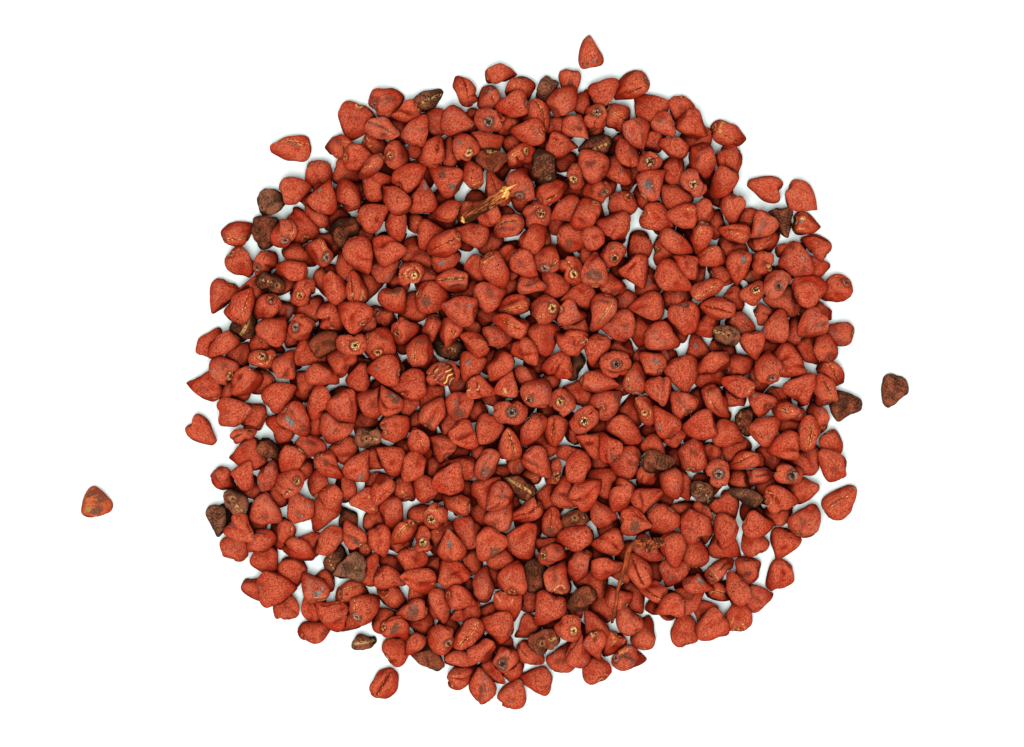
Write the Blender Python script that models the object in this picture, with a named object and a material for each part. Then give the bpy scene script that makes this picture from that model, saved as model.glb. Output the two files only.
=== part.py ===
"""A loose heap of annatto seeds about 95 mm across and one to three seeds deep, with eight stray
seeds lying beside it and a broken twig and a dried stalk lying on top.

The seeds are dropped one after another onto a bed, which keeps the height of what already lies at
each place, and each settles where its middle comes lowest. The ones that show are fused to a low
core, at true size and with few sides. The origin is on the surface below the middle of the heap,
+X points right, +Y points away from the viewer's side and +Z points up.

Lengths are in millimetres up to the point where a mesh is made, which is in metres.
"""

from dataclasses import dataclass
from math import atan2, cos, hypot, pi, radians, sin, sqrt, tau

import bmesh
import bpy
import numpy as np
from mathutils import Vector
from mathutils.geometry import delaunay_2d_cdt

MM = 0.001

# The heap's uneven outline: its reach every 15 degrees, counter-clockwise from +X.
RIM = (
    47.6, 47.6, 48.5, 46.0, 46.3, 45.3, 44.5, 43.4, 45.6, 42.9, 47.6, 46.3,
    46.5, 47.2, 50.5, 51.2, 45.3, 44.2, 46.3, 44.2, 43.2, 48.0, 46.7, 47.5,
)  # fmt: skip

# How many seeds reach the floor and how many lie on those, and how near the rim their middles come.
FLOOR_SEEDS = 430
UPPER_SEEDS = 270
FLOOR_INSET = 1.9
UPPER_INSET = 5.5
UPPER_SPREAD = 0.53
HEAP_DRAW = 20611

# One seed: a rounded, blunt wedge with a broad end and a pointed end.
LENGTH = 4.75
LENGTH_SPREAD = 0.34
SHORTEST = 3.8
LONGEST = 5.7
RATIO_SPREAD = 0.055
TAPER = (0.35, 0.65)
WEDGE = (0.20, 0.45)
BEND_SHARE = (0.5, 1.3)
SKEW = 0.16

# The bed: a square field of cells, and how a seed looks for its place on it.
CELL = 0.16
HALF_BED = 68.0
TEST_POINTS = 170
LAID_POINTS = 1400
TRIES = 50
ROUNDS = 5
FIRST_REACH = 2.6
ROUND_SHRINK = 0.55
TURN_STEP = 0.5
TILT_STEP = 0.3
FLOOR_PULL = 0.02
UPPER_PULL = 0.03
OUTSIDE_COST = 2.0
STRAY_CLEARANCE = 5.6
SEED_GAP = 0.02
GOLDEN_ANGLE = pi * (3 - sqrt(5))

# The fused heap: how many seeds, their facets, and how far apart they are sought at first.
FUSED_SEEDS = 226
FUSED_SIDES = 6
FUSED_RINGS = (0.42, -0.52)
FUSED_GROWTH = 1.05
WIDEST_SPREAD = 6.0
SPREAD_SHRINK = 0.98
RIM_WORTH = 3.0
RIM_CROWDING = 0.25

# Their core: its border's points and height, and how far below the seeds' middles its top lies.
CORE_INSET = 2.6
CORE_BEARINGS = 48
CORE_EDGE = 1.3
CORE_DROP = 0.45
CORE_MARGIN = 1.3
BORDER_HOLD = 0.9

# The strays have a rounder form than the fused seeds, as each is a solid of its own.
STRAY_SIDES = 10
STRAY_RINGS = (0.86, 0.55, 0.15, -0.3, -0.7, -0.93)
STRAY_WEDGE = 0.3
STRAY_SKEW = 0.05

# What lies on top keeps a small gap to the seeds.
TOP_GAP = 0.35

# The edge between two faces is shaded sharp where they turn by more than this many degrees.
SHARP_ANGLE = 60


@dataclass(frozen=True)
class Kind:
    """A kind of seed: its share of the heap and its usual proportions."""

    name: str
    share: float
    breadth: float
    thickness: float
    bend: float


KINDS = (
    Kind("broad", 0.20, 0.88, 0.67, 0.10),
    Kind("slender", 0.18, 0.78, 0.67, 0.12),
    Kind("dimpled", 0.20, 0.86, 0.64, 0.12),
    Kind("notched", 0.18, 0.87, 0.66, 0.10),
    Kind("bent", 0.17, 0.81, 0.62, 0.38),
    Kind("brown", 0.07, 0.85, 0.56, 0.18),
)


@dataclass(frozen=True)
class Lie:
    """How a seed lies: the lift of its tip and its roll in degrees, and how far each may stray."""

    share: float
    lift: float
    roll: float
    lift_spread: float
    roll_spread: float


LIES = (
    Lie(0.25, 0, 0, 9, 10),
    Lie(0.20, 0, 180, 9, 10),
    Lie(0.13, 0, 90, 10, 14),
    Lie(0.15, 0, -90, 10, 14),
    Lie(0.17, -62, 90, 14, 40),
    Lie(0.10, -25, 30, 14, 40),
)


@dataclass(frozen=True)
class Form:
    """One seed's size and shape. Its tip points along its own +X, its groove runs along +Y."""

    length: float
    breadth: float
    thickness: float
    taper: float
    wedge: float
    bend: float
    skew: float

    def points(self, ways):
        """Where unit directions from the seed's middle meet its skin."""
        x, y, z = ways.T
        broad = y * (1 - self.taper * x) / widest(self.taper)
        thick = z * (1 - self.wedge * x) / widest(self.wedge)
        return np.stack(
            [
                self.length / 2 * x,
                self.breadth / 2 * broad * (1 - self.skew * z) + self.bend * (x * x - 1 / 3),
                self.thickness / 2 * thick,
            ],
            axis=1,
        )


@dataclass(frozen=True)
class Place:
    """Where a seed's middle is and how it is turned, in radians."""

    x: float
    y: float
    z: float
    turn: float
    lift: float
    roll: float

    def matrix(self):
        return turned(self.turn, self.lift, self.roll)


@dataclass(frozen=True)
class Stray:
    """A seed beside the heap: its middle, its tip's bearing, its size and how it lies."""

    x: float
    y: float
    bearing: float
    length: float
    breadth: float
    thickness: float
    taper: float
    lift: float
    roll: float
    brown: bool = False


STRAYS = (
    Stray(9.1, 45.6, 103, 4.9, 3.5, 3.0, 0.62, 0, 12),
    Stray(-32.7, 32.3, 178, 5.7, 3.8, 3.2, 0.60, 0, 20),
    Stray(33.8, 26.8, 168, 5.1, 4.1, 3.0, 0.60, 0, 10),
    Stray(51.7, -1.6, 238, 4.8, 4.0, 2.7, 0.45, 0, 0, brown=True),
    Stray(-45.3, -7.5, -38, 4.9, 3.9, 3.0, 0.60, 0, 8),
    Stray(44.4, -17.2, 43, 5.6, 4.2, 3.2, 0.55, 0, 0),
    Stray(-60.2, -17.4, 112, 4.5, 4.5, 3.0, 0.42, 0, 10),
    Stray(-19.6, -42.7, 52, 4.6, 4.0, 3.2, 0.25, 0, 35),
)


@dataclass(frozen=True)
class Twig:
    """A broken twig, and how it is measured.

    Each section has its distance from the middle as a share of the run between the ends, how far it
    lies out along the splinter, its width as a share of the thickness, and its shift to one side as
    a share of the radius. The twig's slope is looked for among so many up to the steepest.
    """

    cut: tuple = (-8.9, 21.9)
    torn: tuple = (-2.6, 25.8)
    splinter: float = 1.9
    cut_bulge: float = 0.12
    thickness: float = 1.45
    sides: int = 8
    sections: tuple = (
        (-0.50, 0.00, 0.90, 0.00),
        (-0.25, 0.00, 1.00, 0.00),
        (0.25, 0.00, 0.95, 0.00),
        (0.50, 0.00, 0.85, 0.00),
        (0.50, 0.35, 0.42, 0.30),
        (0.50, 0.90, 0.16, 0.42),
    )
    tip_shift: float = 0.45
    tests: int = 15
    slopes: int = 61
    steepest: float = 0.3


@dataclass(frozen=True)
class Stalk:
    """A dried stalk: its route seen from above, from the flower's foot to the thin end."""

    route: tuple = (
        (19.4, -22.6), (17.9, -23.0), (16.3, -22.8), (14.9, -23.3), (14.3, -24.5),
        (14.0, -26.0), (13.4, -27.9), (12.9, -29.8), (12.7, -31.8), (12.2, -34.2),
    )  # fmt: skip
    radii: tuple = (0.50, 0.95, 0.72, 0.46, 0.40, 0.34, 0.28, 0.25, 0.24, 0.20)
    sides: int = 6
    steps: int = 2
    side_room: float = 0.6
    end_bulge: float = 0.6


def widest(taper):
    """The greatest of sqrt(1 - x x) (1 - taper x), which keeps a tapered seed to its stated size."""
    x = (1 - sqrt(1 + 8 * taper * taper)) / (4 * taper)
    return sqrt(1 - x * x) * (1 - taper * x)


def turned(turn, lift, roll):
    """The matrix of a roll about X, then a lift of +X, then a turn about Z. Arrays give a stack."""
    ct, st, cl, sl, cr, sr = (f(a) for a in (turn, lift, roll) for f in (np.cos, np.sin))
    rows = [
        [ct * cl, -ct * sl * sr - st * cr, -ct * sl * cr + st * sr],
        [st * cl, -st * sl * sr + ct * cr, -st * sl * cr - ct * sr],
        [sl, cl * sr, cl * cr],
    ]
    return np.moveaxis(np.array(rows), (0, 1), (-2, -1))


def even_ways(count):
    """Unit directions spread evenly, from +X to -X."""
    step = np.arange(count) + 0.5
    x = 1 - 2 * step / count
    ring = np.sqrt(1 - x * x)
    return np.stack([x, ring * np.cos(step * GOLDEN_ANGLE), ring * np.sin(step * GOLDEN_ANGLE)], axis=1)


def rim_at(bearing):
    """The heap's reach at a bearing in radians, eased between the stated ones."""
    place = bearing / tau * len(RIM) % len(RIM)
    first = np.floor(place).astype(int)
    share = place - first
    share = share * share * (3 - 2 * share)
    reach = np.array(RIM)
    return reach[first] * (1 - share) + reach[(first + 1) % len(RIM)] * share


class Bed:
    """The surface that seeds are dropped on, and the seeds laid on it so far."""

    def __init__(self):
        cells = round(2 * HALF_BED / CELL)
        self.height = np.zeros((cells, cells))
        self.top = np.full((cells, cells), -1)
        self.forms = []
        self.places = []
        self.lowest = []
        self.test_ways = even_ways(TEST_POINTS)
        self.laid_ways = even_ways(LAID_POINTS)

    def cell(self, x, y):
        return ((x + HALF_BED) / CELL).astype(int), ((y + HALF_BED) / CELL).astype(int)

    def rest_height(self, points, x, y):
        """How high the middles of turned seeds come when they touch what is below."""
        row, column = self.cell(points[..., 0] + x[:, None], points[..., 1] + y[:, None])
        return (self.height[row, column] - points[..., 2]).max(axis=1)

    def lay(self, form, place):
        """Adds a seed, and raises the bed to its upper side."""
        points = form.points(self.laid_ways) @ place.matrix().T + (place.x, place.y, place.z)
        row, column = self.cell(points[:, 0], points[:, 1])
        np.maximum.at(self.height, (row, column), points[:, 2])
        upper = points[:, 2] >= self.height[row, column] - CELL
        self.top[row[upper], column[upper]] = len(self.places)
        self.forms.append(form)
        self.places.append(place)
        self.lowest.append(float(points[:, 2].min()))

    def settle(self, form, lie, x, y, inset, pull, keep_off, draw):
        """Finds the seed's lowest place near (x, y), in rounds of ever smaller random moves."""
        lift, roll, lift_spread, roll_spread = np.radians(
            [lie.lift, lie.roll, lie.lift_spread, lie.roll_spread]
        )
        skin = form.points(self.test_ways)
        best = None
        least = np.inf
        for turn_of in range(ROUNDS):
            reach = FIRST_REACH * ROUND_SHRINK**turn_of
            if best is None:
                xs = x + draw.normal(0, reach, TRIES)
                ys = y + draw.normal(0, reach, TRIES)
                turns = draw.uniform(0, tau, TRIES)
                lifts = lift + draw.normal(0, lift_spread, TRIES)
                rolls = roll + draw.normal(0, roll_spread, TRIES)
            else:
                shrink = reach / FIRST_REACH
                xs = best.x + draw.normal(0, reach / 2, TRIES)
                ys = best.y + draw.normal(0, reach / 2, TRIES)
                turns = best.turn + draw.normal(0, TURN_STEP * shrink, TRIES)
                lifts = best.lift + draw.normal(0, TILT_STEP * shrink, TRIES)
                rolls = best.roll + draw.normal(0, TILT_STEP * shrink, TRIES)
                lifts = np.clip(lifts, lift - 2 * lift_spread, lift + 2 * lift_spread)
                rolls = np.clip(rolls, roll - 2 * roll_spread, roll + 2 * roll_spread)
            points = np.einsum("kij,nj->kni", turned(turns, lifts, rolls), skin)
            zs = self.rest_height(points, xs, ys)
            outside = np.hypot(xs, ys) + inset - rim_at(np.arctan2(ys, xs))
            cost = zs + pull * np.hypot(xs - x, ys - y) ** 2 + OUTSIDE_COST * np.clip(outside, 0, None)
            for stray in keep_off:
                near = STRAY_CLEARANCE - np.hypot(xs - stray.x, ys - stray.y)
                cost += OUTSIDE_COST * np.clip(near, 0, None)
            cost = np.round(cost, 6)
            chosen = int(cost.argmin())
            if cost[chosen] < least:
                least = cost[chosen]
                best = Place(*(float(v[chosen]) for v in (xs, ys, zs + SEED_GAP, turns, lifts, rolls)))
        return best

    def shown_area(self):
        """For each seed, how much of it shows from above, in square millimetres."""
        seen = self.top[self.top >= 0]
        return np.bincount(seen, minlength=len(self.places)) * CELL * CELL

    def highest_near(self, x, y, reach):
        """The bed's greatest height within a square of this reach about (x, y)."""
        low_row, low_column = self.cell(np.array(x - reach), np.array(y - reach))
        high_row, high_column = self.cell(np.array(x + reach), np.array(y + reach))
        return float(self.height[low_row : high_row + 1, low_column : high_column + 1].max())


def drawn_form(kind, draw):
    """A seed of this kind with its own size and proportions."""
    length = float(np.clip(draw.normal(LENGTH, LENGTH_SPREAD), SHORTEST, LONGEST))
    breadth = length * float(draw.normal(kind.breadth, RATIO_SPREAD))
    thickness = length * float(draw.normal(kind.thickness, RATIO_SPREAD))
    taper, wedge = float(draw.uniform(*TAPER)), float(draw.uniform(*WEDGE))
    bend = kind.bend * float(draw.choice((-1, 1))) * float(draw.uniform(*BEND_SHARE))
    return Form(length, breadth, thickness, taper, wedge, bend, float(draw.uniform(-SKEW, SKEW)))


def spiral(count, reach, power):
    """Places spread over the heap's outline on a sunflower spiral."""
    found = []
    for step in range(count):
        bearing = step * GOLDEN_ANGLE
        radius = ((step + 0.5) / count) ** power * (float(rim_at(np.array(bearing))) - reach)
        found.append((radius * cos(bearing), radius * sin(bearing)))
    return found


def lay_strays(bed):
    """Lays the strays on the floor, each with its lowest point just clear of it."""
    for stray in STRAYS:
        form = Form(
            stray.length, stray.breadth, stray.thickness, stray.taper, STRAY_WEDGE, 0.0, STRAY_SKEW
        )
        turn, lift, roll = (radians(angle) for angle in (stray.bearing, stray.lift, stray.roll))
        low = (form.points(bed.laid_ways) @ turned(turn, lift, roll).T)[:, 2].min()
        place = Place(stray.x, stray.y, SEED_GAP - float(low), turn, lift, roll)
        bed.lay(form, place)


def lay_heap(bed):
    """Drops the heap's seeds: first those that reach the floor, then those that lie on them."""
    draw = np.random.default_rng(HEAP_DRAW)
    kind_shares = [kind.share for kind in KINDS]
    lie_shares = [lie.share for lie in LIES]
    for count, inset, power, pull in (
        (FLOOR_SEEDS, FLOOR_INSET, 0.5, FLOOR_PULL),
        (UPPER_SEEDS, UPPER_INSET, UPPER_SPREAD, UPPER_PULL),
    ):
        targets = spiral(count, inset, power)
        for step in draw.permutation(count):
            kind = KINDS[draw.choice(len(KINDS), p=kind_shares)]
            lie = LIES[draw.choice(len(LIES), p=lie_shares)]
            form = drawn_form(kind, draw)
            place = bed.settle(form, lie, *targets[step], inset, pull, STRAYS, draw)
            bed.lay(form, place)


def fresh_material(name, colour, roughness):
    """A plain Principled material."""
    material = bpy.data.materials.new(name)
    material.use_nodes = True
    shader = material.node_tree.nodes["Principled BSDF"]
    shader.inputs["Base Color"].default_value = (*colour, 1.0)
    shader.inputs["Roughness"].default_value = roughness
    shader.inputs["Metallic"].default_value = 0.0
    return material


def add_object(name, points, faces, material, collection=None):
    """A mesh object from points in millimetres."""
    mesh = bpy.data.meshes.new(name)
    mesh.from_pydata([Vector(point) * MM for point in points], [], faces)
    mesh.materials.append(material)
    mesh.shade_smooth()
    mesh.set_sharp_from_angle(angle=radians(SHARP_ANGLE))
    thing = bpy.data.objects.new(name, mesh)
    (collection or bpy.context.scene.collection).objects.link(thing)
    return thing


def ringed_ways(rings, sides):
    """Directions on a pole, on rings at the stated heights along X and on the other pole."""
    ways = [(1.0, 0.0, 0.0)]
    for number, x in enumerate(rings):
        ring = sqrt(1 - x * x)
        for side in range(sides):
            around = tau * (side + number % 2 / 2) / sides
            ways.append((x, ring * cos(around), ring * sin(around)))
    ways.append((-1.0, 0.0, 0.0))
    return np.array(ways)


def ringed_faces(ring_count, sides):
    """Triangles of a closed form made of two poles and rings turned half a side from each other."""
    faces = []
    for side in range(sides):
        ahead = (side + 1) % sides
        faces.append((0, 1 + side, 1 + ahead))
        for ring in range(ring_count - 1):
            here, there = 1 + ring * sides, 1 + (ring + 1) * sides
            if ring % 2:
                faces.append((here + side, there + side, there + ahead))
                faces.append((here + side, there + ahead, here + ahead))
            else:
                faces.append((here + side, there + side, here + ahead))
                faces.append((here + ahead, there + side, there + ahead))
        last, end = 1 + (ring_count - 1) * sides, 1 + ring_count * sides
        faces.append((last + side, end, last + ahead))
    return faces


def seed_points(form, place, rings, sides, growth=1.0):
    """The corners of a faceted seed where it lies, grown a little as its sides cut inside the skin."""
    return form.points(ringed_ways(rings, sides)) * growth @ place.matrix().T + (place.x, place.y, place.z)


def core_reach(bearing):
    """How far the core goes at a bearing: inside the outline, and clear of the strays."""
    radius = float(rim_at(np.array(bearing))) - CORE_INSET
    for stray in STRAYS:
        along = stray.x * cos(bearing) + stray.y * sin(bearing)
        aside = stray.y * cos(bearing) - stray.x * sin(bearing)
        if abs(aside) < STRAY_CLEARANCE and along > 0:
            radius = min(radius, along - sqrt(STRAY_CLEARANCE**2 - aside**2))
    return radius


def inside_border(place):
    """How far inside the core's border a seed's middle is."""
    return core_reach(atan2(place.y, place.x)) - hypot(place.x, place.y)


def held_by_core(place, lowest):
    """Whether a seed joins the core: as one of its corners, or low down at its border."""
    inside = inside_border(place)
    return inside > CORE_MARGIN or (inside > -BORDER_HOLD and lowest < CORE_EDGE / 2)


def add_core(places, material):
    """The heap's core: a low uneven mound, flat below, whose top runs through the seeds it holds."""
    border = []
    for step in range(CORE_BEARINGS):
        bearing = tau * step / CORE_BEARINGS
        radius = core_reach(bearing)
        border.append((radius * cos(bearing), radius * sin(bearing), CORE_EDGE))
    inside = []
    for place in places:
        if inside_border(place) > CORE_MARGIN:
            inside.append((place.x, place.y, place.z - CORE_DROP))
    points = border + inside
    edges = [(step, (step + 1) % CORE_BEARINGS) for step in range(CORE_BEARINGS)]
    flat = [Vector(point[:2]) for point in points]
    _, _, triangles, _, _, _ = delaunay_2d_cdt(flat, edges, [], 1, 1e-6)
    below = len(points)
    points += [(x, y, 0.0) for x, y, _ in border]
    faces = [tuple(face) for face in triangles]
    for step in range(CORE_BEARINGS):
        ahead = (step + 1) % CORE_BEARINGS
        faces.append((step, below + step, below + ahead, ahead))
    faces.append(tuple(below + step for step in reversed(range(CORE_BEARINGS))))
    return add_object("seed_heap", points, faces, material)


def joined_by_union(base, collection):
    """Unites everything in the collection with the base object, and removes the collection."""
    union = base.modifiers.new("fused seeds", "BOOLEAN")
    union.operation = "UNION"
    union.operand_type = "COLLECTION"
    union.collection = collection
    union.solver = "EXACT"
    graph = bpy.context.evaluated_depsgraph_get()
    whole = bpy.data.meshes.new_from_object(base.evaluated_get(graph))
    base.modifiers.remove(union)
    base.data = whole
    for thing in list(collection.objects):
        bpy.data.objects.remove(thing)
    bpy.data.collections.remove(collection)


def keep_outer_shell(thing):
    """Drops loose scraps and sealed hollows: only the shell with the most corners stays."""
    form = bmesh.new()
    form.from_mesh(thing.data)
    left = set(form.verts)
    shells = []
    while left:
        shell = [left.pop()]
        for vertex in shell:
            for edge in vertex.link_edges:
                other = edge.other_vert(vertex)
                if other in left:
                    left.remove(other)
                    shell.append(other)
        shells.append(shell)
    shells.sort(key=len)
    for shell in shells[:-1]:
        bmesh.ops.delete(form, geom=shell, context="VERTS")
    form.to_mesh(thing.data)
    form.free()


def well_spread(bed):
    """The seeds to fuse: those that show most, as far apart as they can be but closer at the rim."""
    out = [1 - inside_border(place) / min(RIM) for place in bed.places]
    at_rim = np.clip(out, 0, 1) ** 8
    worth = bed.shown_area() * (1 + RIM_WORTH * at_rim)
    held = [held_by_core(place, lowest) for place, lowest in zip(bed.places, bed.lowest)]
    order = [number for number in np.argsort(-worth, kind="stable") if held[number]]
    middles = np.array([(place.x, place.y) for place in bed.places])
    apart = WIDEST_SPREAD
    while True:
        chosen = []
        for number in order:
            needed = apart * (1 - RIM_CROWDING * at_rim[number])
            gaps = np.hypot(*(middles[chosen] - middles[number]).T)
            if (gaps >= needed).all():
                chosen.append(number)
        if len(chosen) >= FUSED_SEEDS:
            return chosen[:FUSED_SEEDS]
        apart *= SPREAD_SHRINK


def add_heap(bed, material):
    """The core with the seeds that show most fused to it."""
    chosen = well_spread(bed)
    heap = add_core([bed.places[number] for number in chosen], material)
    loose = bpy.data.collections.new("loose seeds")
    bpy.context.scene.collection.children.link(loose)
    faces = ringed_faces(len(FUSED_RINGS), FUSED_SIDES)
    for number in chosen:
        points = seed_points(bed.forms[number], bed.places[number], FUSED_RINGS, FUSED_SIDES, FUSED_GROWTH)
        add_object(f"seed_{number}", points, faces, material, loose)
    joined_by_union(heap, loose)
    keep_outer_shell(heap)
    return heap


def add_strays(bed, red, brown):
    """Each stray as a solid of its own. They were laid first, so the bed counts them first."""
    faces = ringed_faces(len(STRAY_RINGS), STRAY_SIDES)
    for number, stray in enumerate(STRAYS):
        points = seed_points(bed.forms[number], bed.places[number], STRAY_RINGS, STRAY_SIDES)
        add_object(f"stray_seed_{number + 1}", points, faces, brown if stray.brown else red)


def tube_faces(ring_count, sides):
    """Triangles of a tube of rings with a point at each end."""
    faces = []
    for side in range(sides):
        ahead = (side + 1) % sides
        faces.append((0, 1 + side, 1 + ahead))
        for ring in range(ring_count - 1):
            here, there = 1 + ring * sides, 1 + (ring + 1) * sides
            faces.append((here + side, there + ahead, here + ahead))
            faces.append((here + side, there + side, there + ahead))
        last, end = 1 + (ring_count - 1) * sides, 1 + ring_count * sides
        faces.append((last + side, end, last + ahead))
    return faces


def twig_lie(bed, twig):
    """The height of the twig's middle and its slope, where it balances on the seeds below it."""
    run = hypot(twig.torn[0] - twig.cut[0], twig.torn[1] - twig.cut[1])
    shares = np.linspace(0, 1, twig.tests)
    offsets = (shares - 0.5) * run
    needed = []
    for share in shares:
        x = twig.cut[0] + (twig.torn[0] - twig.cut[0]) * share
        y = twig.cut[1] + (twig.torn[1] - twig.cut[1]) * share
        needed.append(bed.highest_near(x, y, twig.thickness / 2))
    slopes = np.linspace(-twig.steepest, twig.steepest, twig.slopes)
    heights = [(np.array(needed) - offsets * slope).max() for slope in slopes]
    best = int(np.argmin(np.round(heights, 6)))
    return heights[best] + twig.thickness / 2 + TOP_GAP, float(slopes[best])


def add_twig(bed, twig, material):
    """The twig: a slightly flattened rod with a blunt cut end and a splinter at the torn end."""
    height, slope = twig_lie(bed, twig)
    along = Vector((twig.torn[0] - twig.cut[0], twig.torn[1] - twig.cut[1], 0))
    run = along.length
    along.z = slope * run
    along.normalize()
    side = along.cross(Vector((0, 0, 1))).normalized()
    up = side.cross(along)
    middle = Vector(((twig.cut[0] + twig.torn[0]) / 2, (twig.cut[1] + twig.torn[1]) / 2, height))
    radius = twig.thickness / 2
    points = [middle - along * (run / 2 + twig.cut_bulge)]
    for share, out, size, shift in twig.sections:
        centre = middle + along * (share * run + out * twig.splinter) - side * shift * radius
        for number in range(twig.sides):
            around = tau * number / twig.sides
            points.append(centre + (side * cos(around) + up * sin(around)) * radius * size)
    points.append(middle + along * (run / 2 + twig.splinter) - side * twig.tip_shift * radius)
    add_object("twig", points, tube_faces(len(twig.sections), twig.sides), material)


def smooth_route(stalk, bed):
    """Points and radii along the stalk, which bridges from seed to seed as a stiff stalk does."""
    count = len(stalk.route)
    heights = []
    for (x, y), radius in zip(stalk.route, stalk.radii):
        heights.append(bed.highest_near(x, y, radius + stalk.side_room) + radius + TOP_GAP)
    taut = list(heights)
    for first in range(count):
        for last in range(first + 2, count):
            for between in range(first + 1, last):
                share = (between - first) / (last - first)
                taut[between] = max(taut[between], heights[first] * (1 - share) + heights[last] * share)
    rows = [Vector((*place, height)) for place, height in zip(stalk.route, taut)]
    found = []
    for number in range(count - 1):
        before, start = rows[max(number - 1, 0)], rows[number]
        end, after = rows[number + 1], rows[min(number + 2, count - 1)]
        for step in range(stalk.steps):
            t = step / stalk.steps
            point = (
                (2 * start)
                + (end - before) * t
                + (2 * before - 5 * start + 4 * end - after) * t * t
                + (3 * start - before - 3 * end + after) * t * t * t
            ) / 2
            radius = stalk.radii[number] * (1 - t) + stalk.radii[number + 1] * t
            found.append((point, radius))
    found.append((rows[-1], stalk.radii[-1]))
    return found


def add_stalk(bed, stalk, material):
    """The stalk: a tapering tube that swells into the dried foot of the flower."""
    route = smooth_route(stalk, bed)
    ends = [(route[1][0] - route[0][0]).normalized(), (route[-1][0] - route[-2][0]).normalized()]
    points = [route[0][0] - ends[0] * route[0][1] * stalk.end_bulge]
    for number, (point, radius) in enumerate(route):
        ahead = route[min(number + 1, len(route) - 1)][0]
        behind = route[max(number - 1, 0)][0]
        along = (ahead - behind).normalized()
        side = along.cross(Vector((0, 0, 1))).normalized()
        up = side.cross(along)
        for step in range(stalk.sides):
            around = tau * step / stalk.sides
            points.append(point + (side * cos(around) + up * sin(around)) * radius)
    points.append(route[-1][0] + ends[1] * route[-1][1] * stalk.end_bulge)
    add_object("stalk", points, tube_faces(len(route), stalk.sides), material)


def main():
    for thing in list(bpy.data.objects):
        bpy.data.objects.remove(thing)
    red = fresh_material("seed_red", (0.42, 0.085, 0.035), 0.85)
    brown = fresh_material("seed_brown", (0.20, 0.07, 0.035), 0.9)
    bark = fresh_material("twig_bark", (0.16, 0.045, 0.02), 0.9)
    stalk_brown = fresh_material("stalk_brown", (0.22, 0.07, 0.025), 0.85)
    bed = Bed()
    lay_strays(bed)
    lay_heap(bed)
    add_heap(bed, red)
    add_strays(bed, red, brown)
    add_twig(bed, Twig(), bark)
    add_stalk(bed, Stalk(), stalk_brown)


main()
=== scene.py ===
"""The looks of a thin loose heap of dried annatto seeds, with stray seeds, a twig and a dried stalk.

Every seed is a mesh of its own at true size, one piece for each kind. The seeds are dropped one
after another onto a bed, which keeps the height of what already lies at each place, and each
settles where its middle comes lowest, just as in the solids that they replace. No core is needed:
the seeds lie on the floor and on each other, and the pale floor shows through the gaps.

Lengths are in millimetres up to the point where a mesh is made, which is in metres. A seed's tip
points along its own +X, its scar is at the broad end, -X, and its groove runs along +Y.
"""

import logging
from collections.abc import Callable
from dataclasses import dataclass, replace
from enum import Enum
from functools import cached_property
from itertools import cycle
from math import ceil, cos, hypot, pi, radians, sin, sqrt, tau
from typing import Any

import bpy
import numpy as np
from bpy.types import Material, Node, NodeSocket, Object
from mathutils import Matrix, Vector
from numpy.random import Generator, default_rng


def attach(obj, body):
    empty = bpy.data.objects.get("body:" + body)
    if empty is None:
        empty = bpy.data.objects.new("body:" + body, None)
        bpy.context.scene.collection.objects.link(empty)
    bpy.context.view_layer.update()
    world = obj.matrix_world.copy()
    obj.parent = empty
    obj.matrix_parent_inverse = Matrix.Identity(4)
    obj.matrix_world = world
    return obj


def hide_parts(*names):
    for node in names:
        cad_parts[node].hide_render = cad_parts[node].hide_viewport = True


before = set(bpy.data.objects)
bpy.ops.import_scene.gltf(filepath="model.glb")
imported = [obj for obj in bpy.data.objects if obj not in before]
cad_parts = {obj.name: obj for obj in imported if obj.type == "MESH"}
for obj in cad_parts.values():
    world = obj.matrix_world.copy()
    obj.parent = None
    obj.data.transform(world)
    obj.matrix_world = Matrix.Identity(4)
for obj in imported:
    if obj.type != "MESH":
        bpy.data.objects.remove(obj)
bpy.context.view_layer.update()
log = logging.getLogger("annatto_heap")

MM = 0.001
BODY = "root"
DECIMALS = 6
# How far the phase of wavy lines goes in a unit of length, at a scale of one.
WAVE_PHASE = 20
# What a seed's finish reads at each of its points.
SKIN_FIELDS = ("place", "marks", "wear", "draws", "sky")

Pair = tuple[float, float]
Triple = tuple[float, float, float]
Colour = Triple
Faces = list[tuple[int, ...]]

# The heap's uneven outline: its reach every 15 degrees, counter-clockwise from +X.
RIM = (
    47.6, 47.6, 48.5, 46.0, 46.3, 45.3, 44.5, 43.4, 45.6, 42.9, 47.6, 46.3,
    46.5, 47.2, 50.5, 51.2, 45.3, 44.2, 46.3, 44.2, 43.2, 48.0, 46.7, 47.5,
)

# One seed's usual size, and how far seeds stray from it.
LENGTH = 4.75
LENGTH_SPREAD = 0.34
SHORTEST = 3.8
LONGEST = 5.7
RATIO_SPREAD = 0.055
TAPER = (0.35, 0.65)
WEDGE = (0.20, 0.45)
BEND_SHARE = (0.5, 1.3)
SKEW = 0.16
STRAY_WEDGE = 0.3
STRAY_SKEW = 0.05

GOLDEN_ANGLE = pi * (3 - sqrt(5))


@dataclass(frozen=True)
class Habit:
    """What sets a kind of seed apart: its share of the heap, its proportions and its fine form."""

    share: float
    breadth: float
    thickness: float
    bend: float
    groove: Pair
    notch: Pair
    dents: tuple[int, int]
    creases: tuple[int, int]
    hook: Pair


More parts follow.
